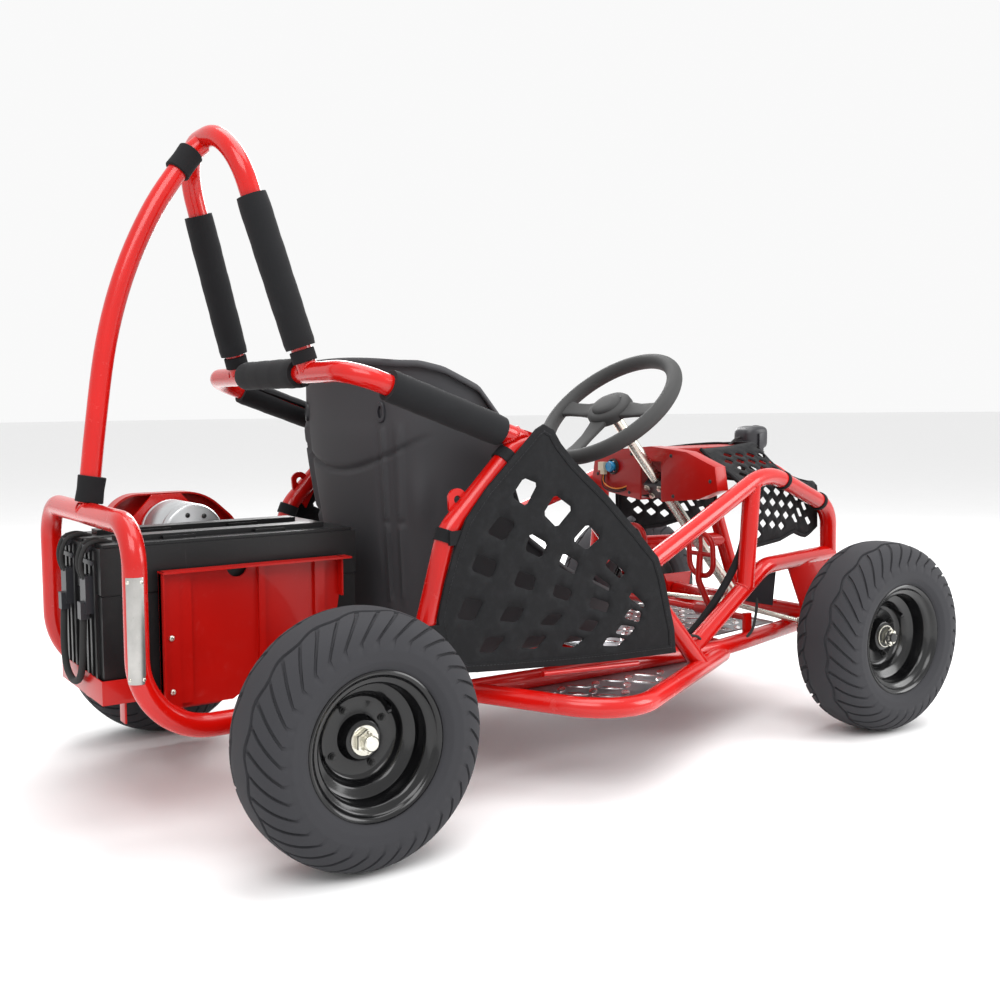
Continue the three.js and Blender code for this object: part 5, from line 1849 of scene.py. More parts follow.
@dataclass(frozen=True)
class Wheel:
    """One wheel: a turf tyre on a gloss steel rim."""

    name: str
    centre: Point
    sign: float
    body: str
    bore: float
    pitches: int = 18

    def on_skin(self, s: float, depth: float) -> tuple[float, float]:
        """Point of the section.

        Args:
            s: Distance from the middle of the tread, negative on the far side.
            depth: Distance below the surface.

        Returns:
            The place along the axle and the radius.
        """
        line = tyre_section()
        rest = abs(s)
        for a, b in zip(line, line[1:]):
            long = (b - a).length
            if rest <= long:
                break
            rest -= long
        way = (b - a).normalized()
        spot = a + way * min(rest, long) + Vector((way.y, -way.x, 0)) * depth
        return (spot.x if s >= 0 else -spot.x, spot.y)

    def pitch(self) -> bpy.types.Mesh:
        """One pitch of the tread: two cross grooves and one wave of the long groove."""
        span = math.tau / self.pitches
        cuts = []
        for k in (0.0, 0.5):
            cuts += [(k + c, d) for c, d in ((0.0, 0), (0.018, 1), (0.094, 1), (0.118, 0), (0.24, 0), (0.37, 0))]
        cuts.append((1.0, 0))
        half = [(0, 0), (7, 0), (14, 0), (19.5, 0), (20.6, 1), (24.2, 1), (25.4, 0), (30, 0), (36, 0), (42, 0), (48, 0),
                (54, 0), (60, 0), (66, 0), (71, 0), (76, 0), (80, 0), (83, -0.3), (85, -0.3), (88, 0), (93, 0),
                (97, -0.35), (99, -0.35), (102, 0), (106, 0), (109, 0)]
        rows = [(-s, d) for s, d in reversed(half[1:])] + half
        mesh_rows = []
        for share, cross in cuts:
            row = []
            for s, groove in rows:
                reach = abs(s)
                t = min(1.0, max(0.0, (reach - 22) / 50))
                angle = span * share + 0.30 * t ** 1.3 + 0.05 * min(1.0, reach / 22)
                fade = math.exp(-(((reach - 22) / 9) ** 2))
                moved = reach + 3.0 * math.sin(math.tau * (share + 0.1)) * fade
                depth = 3.4 * groove if groove > 0 else groove * 1.6
                if cross and 24.8 <= reach <= 83:
                    depth = max(depth, 3.6 * (1 - ease((reach - 60) / 23)))
                x, r = self.on_skin(math.copysign(moved, s) if s else 0.0, depth)
                row.append(Vector((x, r * math.cos(angle), r * math.sin(angle))))
            for x, r in ((43, 92), (44, 100), (40, 132), (20, 149), (-20, 149), (-40, 132), (-44, 100), (-43, 92)):
                row.append(Vector((x, r * math.cos(span * share), r * math.sin(span * share))))
            mesh_rows.append(row)
        form = Form().grid(mesh_rows, around=True, caps=False)
        mesh = bpy.data.meshes.new("tread_pitch")
        form.bm.to_mesh(mesh)
        form.bm.free()
        mesh.transform(Matrix.Scale(MM, 4))
        return mesh

    def build(self, works: Works, rings: Jig, spreader: Spreader) -> None:
        """Makes the tyre, the rim, its valve and its rim bolts."""
        values = {"Count": self.pitches, "Weld": WELD_DISTANCE, "Material": Paint.TYRE.value.make()}
        tyre = rings.bake(f"{self.name}_tread", as_object("pitch", self.pitch()), values, 30.0)
        tyre.data.transform(Matrix.Translation(works.place(self.centre)))
        shape = bmesh.new()
        shape.from_mesh(tyre.data)
        bmesh.ops.recalc_face_normals(shape, faces=shape.faces)
        shape.to_mesh(tyre.data)
        shape.free()
        works.fit(tyre, self.body, Paint.TYRE, f"tyre_{self.name}")
        place = outward_axis(self.centre, self.sign)
        face = [(45.5, 92.4), (47.6, 94.6), (50.2, 94.3), (51.2, 92.2), (50.0, 89.2), (47.0, 87.0), (44.0, 85.6),
                (42.6, 83.2), (41.6, 79.4), (39.0, 76.4), (34.0, 75.0), (22.0, 74.2), (17.5, 73.0), (15.2, 69.5),
                (13.6, 62.5), (11.0, 58.8), (4.0, 56.2), (0.0, 54.0), (-2.0, 50.5), (-2.4, 46.0), (-2.4, 33.0),
                (-1.4, 29.6), (3.0, 27.2), (10.0, 26.0), (13.2, 24.6), (14.0, 22.8)]
        back = [(14.0, self.bore), (-34, self.bore), (-34, 20), (-9, 24), (-6, 50), (2, 60), (6, 66), (-4, 70),
                (-36, 72.5), (-41, 79.4), (-44, 85.6), (-50, 89.2), (-51.2, 92.2), (-50.2, 94.3), (-47.6, 94.6),
                (-45.5, 92.4), (-38, 80), (0, 77.4), (36, 80)]
        form = Form().lathe(face + back, place, 96)
        stem = place @ Matrix.Translation((-48, 31, 0)) @ Matrix.Rotation(0.5, 4, "Y")
        form.lathe([(-4, 0), (-4, 4.6), (4, 4.2), (7, 3.0), (20, 2.7), (21, 3.5), (29, 3.5), (30, 2.2), (30, 0)],
                   stem, 16, loop=False)
        works.add(form, f"{self.name}_rim", Paint.RIM, f"rim_{self.name}", body=self.body, sharp=40.0)
        aim = (self.sign, 0, 0)
        c = self.centre
        bolts = [Seat((c[0] - self.sign * 2.4, c[1] + 41 * math.cos(a), c[2] + 41 * math.sin(a)), aim, size=0.72)
                 for a in turns(4, start=0.5)]
        spreader.fix(f"{self.name}_rim_bolts", Part.NUT, bolts, Paint.BLACK_METAL, self.body)


def castle_nut(form: Form, place: Matrix, flats: float, start: float) -> None:
    """Adds a washer, a castle nut and the split pin through it.

    Args:
        form: The form that they are added to.
        place: Where the axle, local Z, lies.
        flats: Width across the nut's flats.
        start: Where the washer starts along the axle.
    """
    form.lathe([(start, 8), (start, 19.5), (start + 2.6, 19.5), (start + 3, 19.0), (start + 3, 8)], place, 36)
    form.prism(polygon(6, flats / math.sqrt(3)), start + 2.8, start + 11.5, place)
    for i in range(6):
        turn = place @ Matrix.Rotation(math.tau * (i + 0.5) / 6, 4, "Z")
        form.block((7.0, -3.2, start + 11), (11.6, 3.2, start + 15.5), turn)
    form.block((-14, -1.0, start + 12.4), (14, 1.0, start + 14.2), place)


# ---------------------------------------------------------------- batteries and drive


@dataclass(frozen=True)
class BatteryBay:
    """Two cased batteries in a tray, held by a pressed bracket."""

    back: float = -242.0
    front: float = 147.0

    def case(self, x0: float) -> Form:
        """One case: ribbed box, overlapping lid, long handle ridge and end ribs."""
        x1, form = x0 + 96, Form()
        form.block((x0 + 0.8, self.back + 1.2, 184), (x1 - 0.8, self.front - 1.2, 326.5))
        form.block((x0, self.back, 329), (x1, self.front, 392))
        form.block((x0 + 3, self.back + 3, 322), (x1 - 3, self.front - 3, 333))
        form.block((x0 + 4, self.back + 5, 390), (x1 - 4, self.front - 5, 396.5))
        form.block((x0 + 34, -206, 395), (x1 - 34, 112, 403.5))
        for y in (-120, 20):
            form.block((x0 + 26, y - 24, 394), (x1 - 26, y + 24, 400.5))
        for dx in (12, 32, 52, 72):
            form.block((x0 + dx, self.back - 3.5, 200), (x0 + dx + 8, self.back + 6, 388))
        for y in (-200, -125, -50, 25, 100):
            for x in (x0 - 0.6, x1 - 4.4):
                form.block((x, y, 200), (x + 5, y + 6, 320))
        return form.soften(2.4, 3)

    def build(self, works: Works, shop: FrameShop) -> None:
        """Makes the cases, bracket, tray and leads."""
        for side, x0 in (("right", 3.0), ("left", -95.0)):
            works.add(self.case(x0), f"battery_shell_{side}", Paint.CASE, f"battery_case_{side}")
            works.dress(f"battery_pack_{side}", Paint.PACK)
        recut(works, "battery_tray", Paint.SHEET_RED)
        panel = Form()
        notch = [(-50 - 16 * math.cos(a), 356 - 16 * math.sin(a)) for a in turns(12, math.pi, extra=1)]
        edge = [(-163, 166), (-163, 357), (-66, 357)] + notch
        edge += [(-34, 357), (112, 357), (112, 296), (96, 206), (20, 206), (-20, 190), (-60, 166)]
        panel.prism(edge, 107, 109.5, UPRIGHT)
        panel.block((107, -166, 355), (131, 124, 357.5))
        panel.block((107, -165, 168), (126, -162.5, 357.5))
        panel.block((107, 110, 300), (124, 112.5, 357.5))
        for y, z, wide in ((-130, 172, 9), (-14, 200, 5), (78, 230, 8)):
            panel.prism([(y - wide, 356), (y + wide, 356), (y + wide, z), (y - wide, z)], 107.5, 115.5, UPRIGHT)
        panel.block((107.5, -165, 168), (118, -139, 356))
        works.add(panel.soften(1.3, 2), "battery_clamp_panel", Paint.SHEET_RED, "battery_bracket")
        seats = [Seat(spot, (1, 0, 0), size=1.2) for spot in ((118, -152, 265), (118, -152, 190), (109.5, 30, 250))]
        shop.spreader.fix("battery_panel_bolts", Part.SCREW, seats, Paint.ZINC)
        plugs = Form()
        for x in (-47, 51):
            plugs.block((x - 13, -253, 300), (x + 13, -240, 352))
            plugs.block((x - 8, -259, 292), (x + 8, -247, 316))
            plugs.block((x - 10, -251, 384), (x + 10, -236, 394))
        plugs.block((-74, -247.5, 368), (-20, -240, 374)).block((24, -247.5, 368), (78, -240, 374))
        works.add(plugs.soften(1.6, 2), "battery_sockets", Paint.BLACK)
        leads = [(-47, -253, 300), (-47, -254.5, 268), (-45, -255.5, 236), (-31, -256, 208), (2, -256, 197),
                 (35, -256, 208), (49, -255.5, 236), (51, -254.5, 268), (51, -253, 300)]
        fall = ((1.6, -214, 396), (1.4, -232, 399), (1.2, -248, 394), (1, -256, 378), (0.8, -256.5, 362),
                (0.7, -252, 348))
        tops = [wire([(x + dx * share, y, z) for share, y, z in fall], 3.2, 5) for x in (-47, 51) for dx in (-8, 8)]
        shop.run("terminal_leads", tops, Paint.CABLE, sides=12)
        cable = wire(leads, 5.0, 3)
        lead = shop.run("battery_lead", [cable], Paint.CABLE, "battery_cable", sides=14)
        path = [works.place(p) for p in cable.line()]


@dataclass(frozen=True)
class Drive:
    """Motor, chain drive, controller, rear axle and brake."""

    motor: Point = (0.0, -30.0, 375.0)
    axle_z: float = AXLE_HEIGHT
    chain_x: float = -245.0
    small: float = 14.2
    large: float = 86.62
    small_teeth: int = 11
    large_teeth: int = 68
    link: float = 8.0

    def loop(self) -> list[Vector]:
        """Chain pins, evenly spaced round the two sprockets."""
        dy, dz = self.motor[1], self.motor[2] - self.axle_z
        tall, lean = math.hypot(dy, dz), math.atan2(dz, dy)
        wrap = math.acos((self.large - self.small) / tall)
        line = [Vector((self.chain_x, dy + self.small * math.cos(a), self.motor[2] + self.small * math.sin(a)))
                for a in (lean - wrap + 2 * wrap * i / 16 for i in range(17))]
        line += [Vector((self.chain_x, self.large * math.cos(a), self.axle_z + self.large * math.sin(a)))
                 for a in (lean + wrap + (math.tau - 2 * wrap) * i / 90 for i in range(91))]
        line.append(line[0].copy())
        total = sum((b - a).length for a, b in zip(line, line[1:]))
        count = 2 * round(total / (2 * self.link))
        found, want, gone = [], 0.0, 0.0
        for a, b in zip(line, line[1:]):
            long = (b - a).length
            while len(found) < count and want <= gone + long + 1e-6:
                found.append(a.lerp(b, (want - gone) / max(long, 1e-9)))
                want += total / count
            gone += long
        return found

    def guard(self) -> Form:
        """Chain guard: a flat side with a rounded rim band."""
        corners = [(0, -70, 66), (0, -104, 120), (0, -133, 300), (0, -133, 436), (0, 40, 436), (0, 103, 380),
                   (0, 103, 120), (0, 70, 66)]
        line = bent([(0, 0, 66), *corners, (0, 0, 66)], (30, 40, 60, 58, 90, 50, 50, 30), 6.0)[:-1]
        ring = [(p.y, p.z) for p in line]
        slim = [(y * 0.972 - 0.4, 251 + (z - 251) * 0.985) for y, z in ring]
        form = Form().prism(ring, -266, -263.5, UPRIGHT)
        band = ((-266, ring), (-238, ring), (-238, slim), (-264, slim))
        rows = [[Vector((x, y, z)) for y, z in loop] for x, loop in band]
        return form.grid(rows, around=True, ends=True).soften(0.6, 2, 50)

    def build(self, works: Works, shop: FrameShop) -> None:
        """Makes every piece of the drive."""
        y, z = self.motor[1], self.motor[2]
        axis = Matrix.Translation((0, y, z)) @ AXLE_WAY
        can = Form().lathe([(-225, 0), (-225, 44), (-222, 48), (-206, 52), (-204, 50.6), (-200, 50.6), (-198, 52),
                            (-128, 52), (-126, 50.6), (-122, 50.6), (-120, 52), (-110, 52), (-106, 50), (-104, 46),
                            (-103.6, 20), (-102.4, 18), (-102.4, 0)], axis, 72, loop=False)
        can.block((-215, y - 30, z - 62), (-115, y + 30, z - 46))
        works.add(can, "motor_can", Paint.ALLOY, "motor")
        spots = [(-104, y + 36 * math.cos(a), z + 36 * math.sin(a)) for a in turns(8, start=0.3)]
        face = [Seat(spot, (1, 0, 0), size=1.1) for spot in spots]
        shop.spreader.fix("motor_screws", Part.SCREW, face, Paint.BLACK_METAL)
        for name, body, centre, radius, count, node in (
            ("small", "motor_rotor", (self.chain_x, y, z), self.small, self.small_teeth, "motor_sprocket"),
            ("large", "rear_axle_set", (self.chain_x, 0, self.axle_z), self.large, self.large_teeth, "axle_sprocket"),
        ):
            recut(works, node, Paint.ZINC, 0.5, 32, body)
            teeth = []
            for i in range(count):
                a = math.tau * (i + 0.5) / count
                out = (0, math.cos(a), math.sin(a))
                root = (centre[0], centre[1] + (radius - 1.4) * out[1], centre[2] + (radius - 1.4) * out[2])
                teeth.append(Seat(root, (1, 0, 0), (0, -out[2], out[1])))
            shop.spreader.fix(f"{name}_sprocket_teeth", Part.TOOTH, teeth, Paint.ZINC, body)
        pins = self.loop()
        for first, part in enumerate((Part.OUTER_LINK, Part.INNER_LINK)):
            seats = []
            for i in range(first, len(pins), 2):
                a, b = pins[i], pins[(i + 1) % len(pins)]
                seats.append(Seat((a + b) / 2, (1, 0, 0), b - a))
            chain = shop.spreader.spread(f"chain_{part.value}s", part, seats, Paint.CHAIN)
            works.fit(chain, "chassis", Paint.CHAIN, "chain")
        works.add(self.guard(), "chain_cover", Paint.SHEET_RED, "chain_guard")
        recut(works, "controller", Paint.ALLOY, 1.4)
        shaft = [(-402, 0), (-402, 8.6), (-400.6, 10), (400.6, 10), (402, 8.6), (402, 0)]
        axle = Form().lathe(shaft, Matrix.Translation((0, 0, self.axle_z)) @ AXLE_WAY, 32, loop=False)
        for _, sign in SIDES:
            castle_nut(axle, outward_axis((0, 0, self.axle_z), sign), 28, 380.2)
        works.add(axle.soften(HAIRLINE, 1, 50), "axle_shaft", Paint.ZINC, "rear_axle", body="rear_axle_set")
        recut(works, "brake_disc", Paint.ZINC, 0.5, 32, body="rear_axle_set")
        recut(works, "brake_caliper", Paint.BLACK_METAL, 1.5)


# ---------------------------------------------------------------- front end, controls and plates


@dataclass(frozen=True)
class FrontEnd:
    """Front axle beam, knuckles and tie rods."""

    y: float = WHEELBASE
    kingpin: float = 215.0

    def build(self, works: Works, shop: FrameShop) -> None:
        """Makes the front axle and its steering links."""
        beam = Form()
        beam.lathe([(-190, 0), (-190, 13.5), (190, 13.5), (190, 0)], Matrix.Translation((0, self.y, 182)) @ AXLE_WAY,
                   36, loop=False)
        for _, sign in SIDES:
            k = self.kingpin * sign
            back = sorted((188 * sign, 196 * sign))
            beam.block((back[0], self.y - 15, 129), (back[1], self.y + 15, 201))
            ear = [(190 * sign, self.y - 15), (190 * sign, self.y + 15)]
            ear += [(k + sign * 14 * math.sin(a), self.y + 15 * math.cos(a)) for a in turns(10, math.pi, extra=1)]
            for z in (130, 194):
                beam.prism(ear, z, z + 6, Matrix.Identity(4))
            pin = Matrix.Translation((k, self.y, 0))
            beam.lathe([(124.5, 0), (124.5, 9), (129.5, 9.4), (129.5, 6), (200.5, 6), (200.5, 9.4), (205, 9),
                        (206, 0)], pin, 6, loop=False)
        works.add(beam.soften(0.8, 2), "front_beam", Paint.RED, "front_axle_beam")
        for side, sign in SIDES:
            body = f"knuckle_set_{side}"
            recut(works, f"knuckle_{side}", Paint.BLACK_METAL, 0.8, 32, body=body)
            nut = Form()
            castle_nut(nut, outward_axis((0, self.y, AXLE_HEIGHT), sign), 28, 332.0)
            works.add(nut.soften(HAIRLINE, 1, 50), f"spindle_nut_{side}", Paint.ZINC, body=body)
            recut(works, f"tie_rod_{side}", Paint.ZINC, 0.7, 32, f"tie_rod_set_{side}")
            lock = Seat((209 * sign, 1009, 184.5), (0, 0, 1), size=0.85)
            shop.spreader.fix(f"stud_nut_{side}", Part.NUT, [lock], Paint.ZINC, body)


@dataclass(frozen=True)
class Steering:
    """Steering wheel, column and the block that holds the column."""

    top: Point = (0.0, 733.0, 566.0)
    tilt: float = 0.7191
    ring: float = 129.8

    def build(self, works: Works, shop: FrameShop) -> None:
        """Makes the column and the wheel."""
        lean = Matrix.Translation(self.top) @ Matrix.Rotation(self.tilt, 4, "X")
        recut(works, "steering_column", Paint.ZINC, 0.6, 32, body="steering")
        way = lean.to_3x3()
        spots = ((-22, 18), (22, 18), (0, -24))
        bolts = [Seat(lean @ Vector((x, y, 9.5)), way @ Vector((0, 0, 1)), size=0.8) for x, y in spots]
        hoop = []
        for a in turns(24):
            flatten = 1.0 if math.cos(a) > 0 else 0.92
            hoop.append((14.2 * math.sin(a), self.ring + 14.0 * math.cos(a) * flatten))
        form = Form().lathe(hoop, lean, 96)
        for turn in (math.pi / 2, 0.0, -math.pi / 2):
            spoke = lean @ Matrix.Rotation(turn + math.pi, 4, "Z")
            rows = []
            for y, wide, low, high in ((26, 22, -10, 4), (44, 19, -10, 1), (70, 16, -9, -1), (100, 16, -8, 1),
                                       (118, 19, -7, 4), (128, 23, -5, 5)):
                corners = [squared(a, 0.5) for a in turns(16)]
                centre, reach = (high + low) / 2, high - low
                rows.append([spoke @ Vector((c * wide, y, d * reach / 2 + centre)) for c, d in corners])
            form.grid(rows, around=True)
        oval = lean @ Matrix.Diagonal((1.0, 0.86, 1.0, 1.0))
        form.lathe([(-12, 0), (-12, 44), (-8, 47), (2, 46), (7, 42), (9.5, 36), (9.8, 31), (13, 29.5), (15.4, 25),
                    (16.4, 16), (16.6, 0)], oval, 64, loop=False)
        works.add(form, "steering_ring", Paint.WHEEL, "steering_wheel", body="steering", sharp=50.0)
        shop.spreader.fix("steering_bolts", Part.SCREW, bolts, Paint.BLACK_METAL, "steering")
        recut(works, "column_block", Paint.BLACK, 2.4, 34)
        seats = [Seat(lean @ Vector((x, -16.2, z)), way @ Vector((0, -1, 0)), size=0.9)
                 for x in (-17, 17) for z in (-206, -186)]
        shop.spreader.fix("block_bolts", Part.BOLT, seats, Paint.ZINC)


@dataclass(frozen=True)
class Dash:
    """Dash panel, its button and wiring, and the head lamp."""

    face: float = 836.0

    def build(self, works: Works, shop: FrameShop) -> None:
        """Makes everything on and behind the dash."""
        recut(works, "dash_panel", Paint.SHEET_RED, 1.6, 34)
        facing = Matrix.Translation((-103, self.face, 452)) @ Matrix.Rotation(math.pi / 2, 4, "X")
        bezel = Form().lathe([(-2, 11), (0, 15.6), (3.2, 15.2), (4.4, 13.8), (4.6, 12.6), (2.6, 11.6), (-2, 10.4)],
                             facing, 40)
        bezel.lathe([(-28, 0), (-28, 8), (-24, 10), (-4, 10), (-4, 0)], facing, 28, loop=False)
        works.add(bezel, "button_bezel", Paint.BLACK_METAL)
        cap = Form().lathe([(-14, 0), (-14, 8.6), (5, 8.8), (5.4, 10.2), (10, 10.3), (12.2, 9.6), (12.8, 8.2),
                            (12.4, 6.4), (11.9, 0)], facing, 40, loop=False)
        works.add(cap, "button_cap", Paint.BLUE, "power_button", body="button")
        spots = ((-148, 436), (148, 436), (-58, 404), (58, 404), (-52, 478), (52, 478))
        seats = [Seat((x, self.face, z), (0, -1, 0), size=1.1) for x, z in spots]
        shop.spreader.fix("dash_rivets", Part.RIVET, seats, Paint.BLACK_METAL)
        grommet = Form()
        for _, sign in SIDES:
            side = Matrix.Translation((39 * sign, 968, 466)) @ AXLE_WAY
            grommet.lathe([(-4, 11.2), (-4, 14.2), (-1.4, 14.6), (-1.4, 11.8), (1.4, 11.8), (1.4, 14.6), (4, 14.2),
                           (4, 11.2), (3.4, 8.6), (-3.4, 8.6)], side, 36)
        works.add(grommet, "web_grommets", Paint.COLLAR)
        plug = Form().block((-132, 822, 444), (-117, 836, 460)).block((-130, 826, 436), (-119, 834, 446)).soften(1.0, 2)
        works.add(plug, "dash_plug", Paint.CREAM)
        wires = []
        for dx, dz in ((0, 0), (3.4, -3), (-3.2, -6)):
            run = [(-124.5 + dx, 830, 437), (-124 + dx, 829, 424 + dz), (-112 + dx, 828, 414 + dz),
                   (-92, 829, 410 + dz), (-74, 832, 412 + dz), (-60, 842, 420 + dz), (-48, 852, 430)]
            wires.append(wire(run, 1.3, 5))
        shop.run("dash_wires", wires[:1], Paint.AMBER, sides=10)
        shop.run("dash_wires_dark", wires[1:], Paint.CABLE, sides=10)
        self.lamp(works, shop)

    def lamp(self, works: Works, shop: FrameShop) -> None:
        """Makes the head lamp, its lead, and the shield, lines and webs by the front wheels."""
        ahead = Matrix.Translation((0, 0, 504)) @ Matrix.Rotation(-math.pi / 2, 4, "X")
        shell, rows = Form(), []
        for y, wide, tall in ((1071.5, 9, 8), (1072.5, 15, 13), (1077, 20, 18), (1086, 25, 21.5), (1100, 27.5, 23),
                              (1114, 27.5, 23), (1118.5, 26, 21.5)):
            corners = [squared(a, 0.45) for a in turns(40)]
            rows.append([Vector((c * wide, y, 503.5 + d * tall)) for c, d in corners])
        shell.grid(rows, around=True)
        trim = Form()
        trim.block((-30.5, 1092, 476), (-27, 1104, 512)).block((27, 1092, 476), (30.5, 1104, 512))
        trim.block((-30.5, 1090, 473), (30.5, 1106, 477)).block((-13, 1086, 470), (13, 1104, 474.5))
        trim.lathe([(1112, 19), (1112, 23.5), (1119, 23.5), (1120.5, 22), (1120.5, 19.5)], ahead, 48)
        shell.absorb(trim.soften(0.8, 2, 40))
        works.add(shell, "lamp_shell", Paint.BLACK, "headlamp", sharp=50.0)
        lens = Form().lathe([(1115.5, 0), (1115.5, 19.9), (1117.6, 19.8), (1119.2, 16), (1120.2, 9), (1120.5, 0)],
                            ahead, 48, loop=False)
        works.add(lens, "lamp_lens_disc", Paint.LENS)
        lead = wire([(0, 1078, 504), (0, 1070, 504), (0, 1060, 502), (0, 1050, 496), (0, 1042, 490), (0, 1034, 482),
                     (0, 1028, 472), (0, 1018, 462), (0, 1004, 456), (0, 990, 456)], 2.4, 2)
        shop.run("lamp_lead", [lead], Paint.CABLE, sides=12)
        sleeve = wire([(178, 722, 166), (178, 765, 182), (178, 822, 232), (177, 870, 290), (176, 890, 331),
                       (174, 902, 376), (168, 914, 420)], 6.5)
        shop.run("loom_sleeve", [sleeve], Paint.COLLAR, sides=16)
        thin = wire([(212, 716, 186), (214, 740, 182), (209, 761, 168), (202, 804, 150), (197, 848, 149),
                     (193, 892, 168), (190, 907, 192), (187, 915, 226)], 2.4)
        shop.run("brake_line", [thin], Paint.CABLE, sides=12)
        shield = Form().prism([(914, 268), (994, 268), (986, 202), (910, 218)], 157, 160, UPRIGHT).soften(0.8, 2)
        works.add(shield, "front_shield", Paint.BLACK)
        webs, bolts = Form(), []
        for _, sign in SIDES:
            low, high = sorted((sign * 171, sign * 175))
            top = 276 if sign > 0 else 214
            rise = top - 166
            webs.prism([(1060 - rise * 0.47, top), (1106 + rise * 0.2, top), (1106, 166), (1060, 166)], low, high,
                       UPRIGHT)
            bolts += [Seat((sign * 175, 1090, 184), (sign, 0, 0)), Seat((sign * 175, 1084, 204), (sign, 0, 0))]
        works.add(webs.soften(1.0, 2), "axle_webs", Paint.RED)
        shop.spreader.fix("axle_web_bolts", Part.BOLT, bolts, Paint.ZINC)


@dataclass(frozen=True)
class Pedals:
    """Two bent-tube pedals."""

    def build(self, works: Works, shop: FrameShop) -> None:
        """Makes both pedals with their sleeves."""
        for name in ("throttle", "brake"):
            node = f"{name}_pedal"
            low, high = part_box(node)
            x = math.copysign(PEDAL_X, low.x + high.x)
            foot = ((x, 880, 258), (x - 29, 880, 258), (x - 29, 875, 336), (x + 29, 875, 336), (x + 29, 880, 258),
                    (x, 880, 258))
            tubes = [Tube(((x, 905, 190), (x, 871, 250), (x, 875, 300)), (24,), 6.0), Tube(foot, (26, 26, 26, 26), 5.0),
                     StraightTube(((x, 878, 262), (x, 876, 332)), (), 3.6),
                     StraightTube(((x - 28, 878, 298), (x + 28, 878, 298)), (), 4.2)]
            shop.run(f"{name}_loop", tubes, Paint.SHEET_RED, node, body=name, sides=20)
            sleeve = Form().lathe([(-34, 7), (-34, 11), (34, 11), (34, 7)],
                                  Matrix.Translation((x, 905, 190)) @ AXLE_WAY, 28)
            works.add(sleeve.soften(0.8, 2), f"{name}_sleeve", Paint.SHEET_RED, body=name)


@dataclass(frozen=True)
class TreadPlates:
    """Floor and step plates with raised lozenges."""

    pitch: float = 34.0

    def lugs(self, outline: Sequence[tuple[float, float]], top: float) -> list[Seat]:
        """Seats of a plate's lozenges, turned one way and the other.

        Args:
            outline: The plate's edge.
            top: Its upper face.

        Returns:
            The seats.
        """
        seats = []
        xs, ys = [p[0] for p in outline], [p[1] for p in outline]
        for i in range(round((max(xs) - min(xs)) / self.pitch) + 2):
            for j in range(round((max(ys) - min(ys)) / self.pitch) + 2):
                x, y = min(xs) + i * self.pitch, min(ys) + j * self.pitch
                a = math.pi / 4 if (i + j) % 2 else -math.pi / 4
                way = (math.cos(a), math.sin(a))
                ends = [(x + way[0] * d, y + way[1] * d) for d in (-20, 0, 20)]
                if all(inside(p, outline) for p in ends):
                    seats.append(Seat((x, y, top), (0, 0, 1), (way[0], way[1], 0), 1.12))
        return seats

    def build(self, works: Works, spreader: Spreader) -> None:
        """Makes the three plates."""
        floor = [(-150, 1000), (-182, 800), (-186, 560), (186, 560), (182, 800), (150, 1000)]
        step = [(212, 320), (318, 385), (352, 440), (346, 490), (222, 740), (212, 740)]
        for name, node, outline, top in (
            ("floor", "floor_plate", floor, 169.9),
            ("step_right", "step_plate_right", step, 142.0),
            ("step_left", "step_plate_left", [(-x, y) for x, y in step], 142.0),
        ):
            # The plates carry the painted shade and their lozenges the painted highlight of one metal.
            recut(works, node, Paint.TREAD_PAINTED_SHADE, 0.6)
            spreader.fix(f"{name}_lozenges", Part.LUG, self.lugs(outline, top), Paint.LOZENGE_PAINTED_HIGHLIGHT)


# ---------------------------------------------------------------- the studio


@dataclass(frozen=True)
class Softbox:
    """One soft area light."""

    name: str
    spot: Point
    size: tuple[float, float]
    power: float

    def hang(self, target: Point) -> None:
        """Hangs the light and aims it."""
        data = bpy.data.lights.new(self.name, "AREA")
        data.shape, data.size, data.size_y, data.energy = "RECTANGLE", self.size[0], self.size[1], self.power
        lamp = bpy.data.objects.new(self.name, data)
        aim = (Vector(target) - Vector(self.spot)).to_track_quat("-Z", "Y")
        lamp.matrix_world = Matrix.Translation(self.spot) @ aim.to_matrix().to_4x4()
        bpy.context.scene.collection.objects.link(lamp)


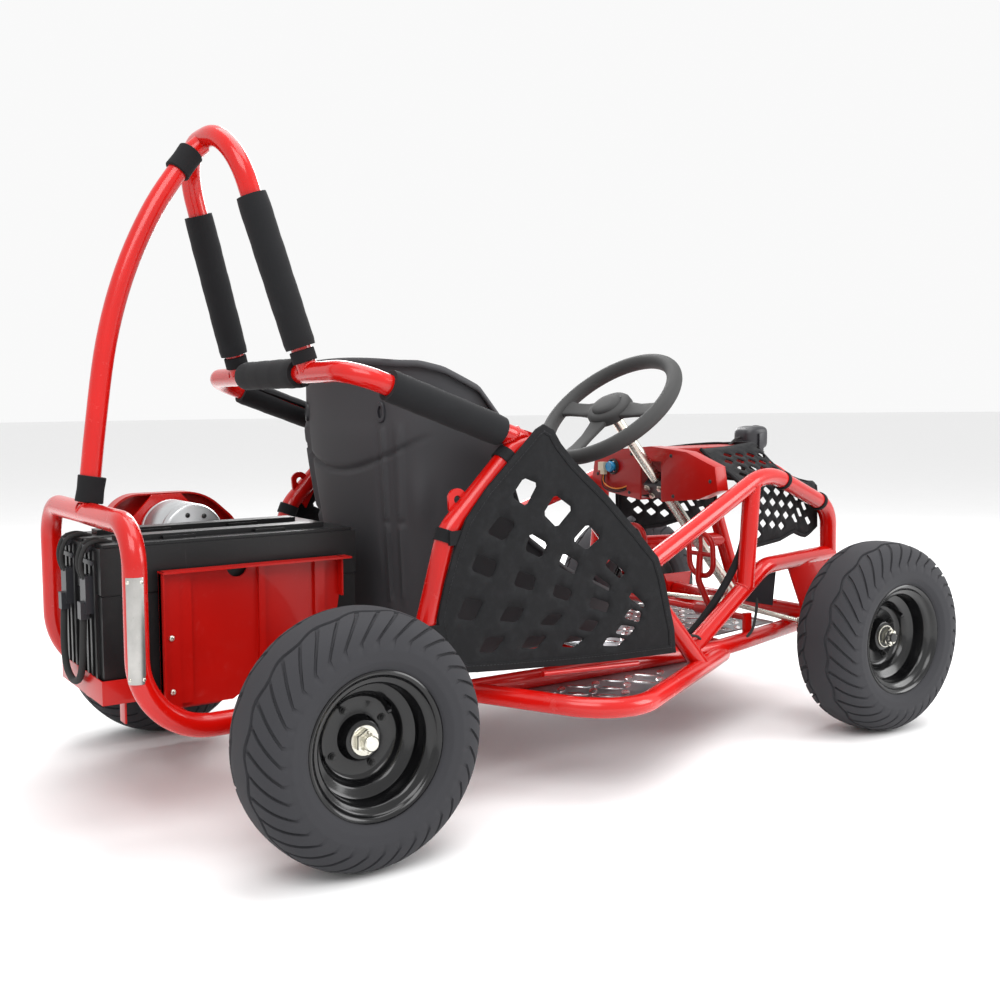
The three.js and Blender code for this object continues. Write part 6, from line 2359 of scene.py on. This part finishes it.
@dataclass(frozen=True)
class Studio:
    """Camera, floor and light."""

    eye: Point = (1603.007, -684.836, 584.593)
    right: Point = (0.503234, 0.864062, -0.012314)
    up: Point = (-0.062376, 0.050534, 0.996773)
    ahead: Point = (-0.861896, 0.500842, -0.079327)
    lens: float = 41.442
    sensor: float = 36.0
    shift: tuple[float, float] = (0.12125, -0.0074)
    clip: tuple[float, float] = (0.05, 60.0)
    floor_rings: tuple[float, ...] = (0.01, 3.0, 40.0)
    floor_drop: float = 0.0004
    glow: float = 0.95
    target: Point = (0.0, 0.0, 0.35)

    def camera(self, works: Works) -> None:
        """Sets the camera up."""
        data = bpy.data.cameras.new("camera")
        data.lens, data.sensor_width = self.lens, self.sensor
        data.shift_x, data.shift_y = self.shift
        data.clip_start, data.clip_end = self.clip
        held = bpy.data.objects.new("camera", data)
        turn = Matrix((self.right, self.up, tuple(-v for v in self.ahead))).transposed().to_4x4()
        held.matrix_world = Matrix.Translation(works.place(self.eye)) @ turn
        bpy.context.scene.collection.objects.link(held)
        bpy.context.scene.camera = held

    def floor(self) -> None:
        """Lays a plain pale floor."""
        rows = [[Vector((x, y, -self.floor_drop)) for x, y in polygon(96, radius)] for radius in self.floor_rings]
        form = Form().grid(rows, around=True)
        form.bm.faces.remove(max(form.bm.faces, key=lambda face: face.calc_area()))
        mesh = form.mesh("studio_floor")
        floor = as_object("studio_floor", mesh)
        mesh.materials.append(PALE.make())

    def light(self) -> None:
        """Sets the world and the soft lights."""
        world = bpy.data.worlds.new("studio_world")
        world.use_nodes = True
        sky = next(n for n in world.node_tree.nodes if n.type == "BACKGROUND")
        sky.inputs["Color"].default_value = (1.0, 1.0, 1.0, 1.0)
        sky.inputs["Strength"].default_value = self.glow
        bpy.context.scene.world = world
        bpy.context.scene.view_settings.view_transform = "Standard"
        for box in (
            Softbox("key", (2.2, -1.6, 2.9), (2.4, 1.8), 62.0),
            Softbox("overhead", (0.0, 0.3, 3.2), (3.0, 2.2), 70.0),
            Softbox("far_edge", (-2.4, 1.4, 1.8), (1.2, 2.0), 60.0),
            Softbox("front_fill", (2.0, 2.4, 1.5), (1.4, 1.6), 40.0),
        ):
            box.hang(self.target)


PALE = Finish("studio_paper", "studio_paper", (0.88, 0.88, 0.88), 0.9, grain_depth=0.004, mottle=0.003, specular=0.1)


def main() -> None:
    """Builds the kart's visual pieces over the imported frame."""
    logging.basicConfig(level=logging.INFO, format="%(message)s")
    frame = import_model()
    low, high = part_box("rear_axle")
    works = Works(frame, (low.y + high.y) / 2)
    spreader = Spreader(works)
    shop = FrameShop(works, spreader)
    studio = Studio()
    studio.camera(works)
    BatteryBay().build(works, shop)
    WeldedFrame().build(works, shop)
    Padding().build(works)
    BucketSeat().build(works, spreader)
    Nets().build(works, shop)
    Drive().build(works, shop)
    rings = ring_jig()
    for side, sign in SIDES:
        rear, front = (REAR_WHEEL_X * sign, 0, AXLE_HEIGHT), (FRONT_WHEEL_X * sign, WHEELBASE, AXLE_HEIGHT)
        Wheel(f"rear_{side}", rear, sign, "rear_axle_set", REAR_BORE).build(works, rings, spreader)
        Wheel(f"front_{side}", front, sign, f"front_wheel_{side}", FRONT_BORE).build(works, rings, spreader)
    FrontEnd().build(works, shop)
    Steering().build(works, shop)
    Dash().build(works, shop)
    Pedals().build(works, shop)
    TreadPlates().build(works, spreader)
    spreader.clear()
    studio.floor()
    studio.light()


if __name__ == "__main__":
    main()
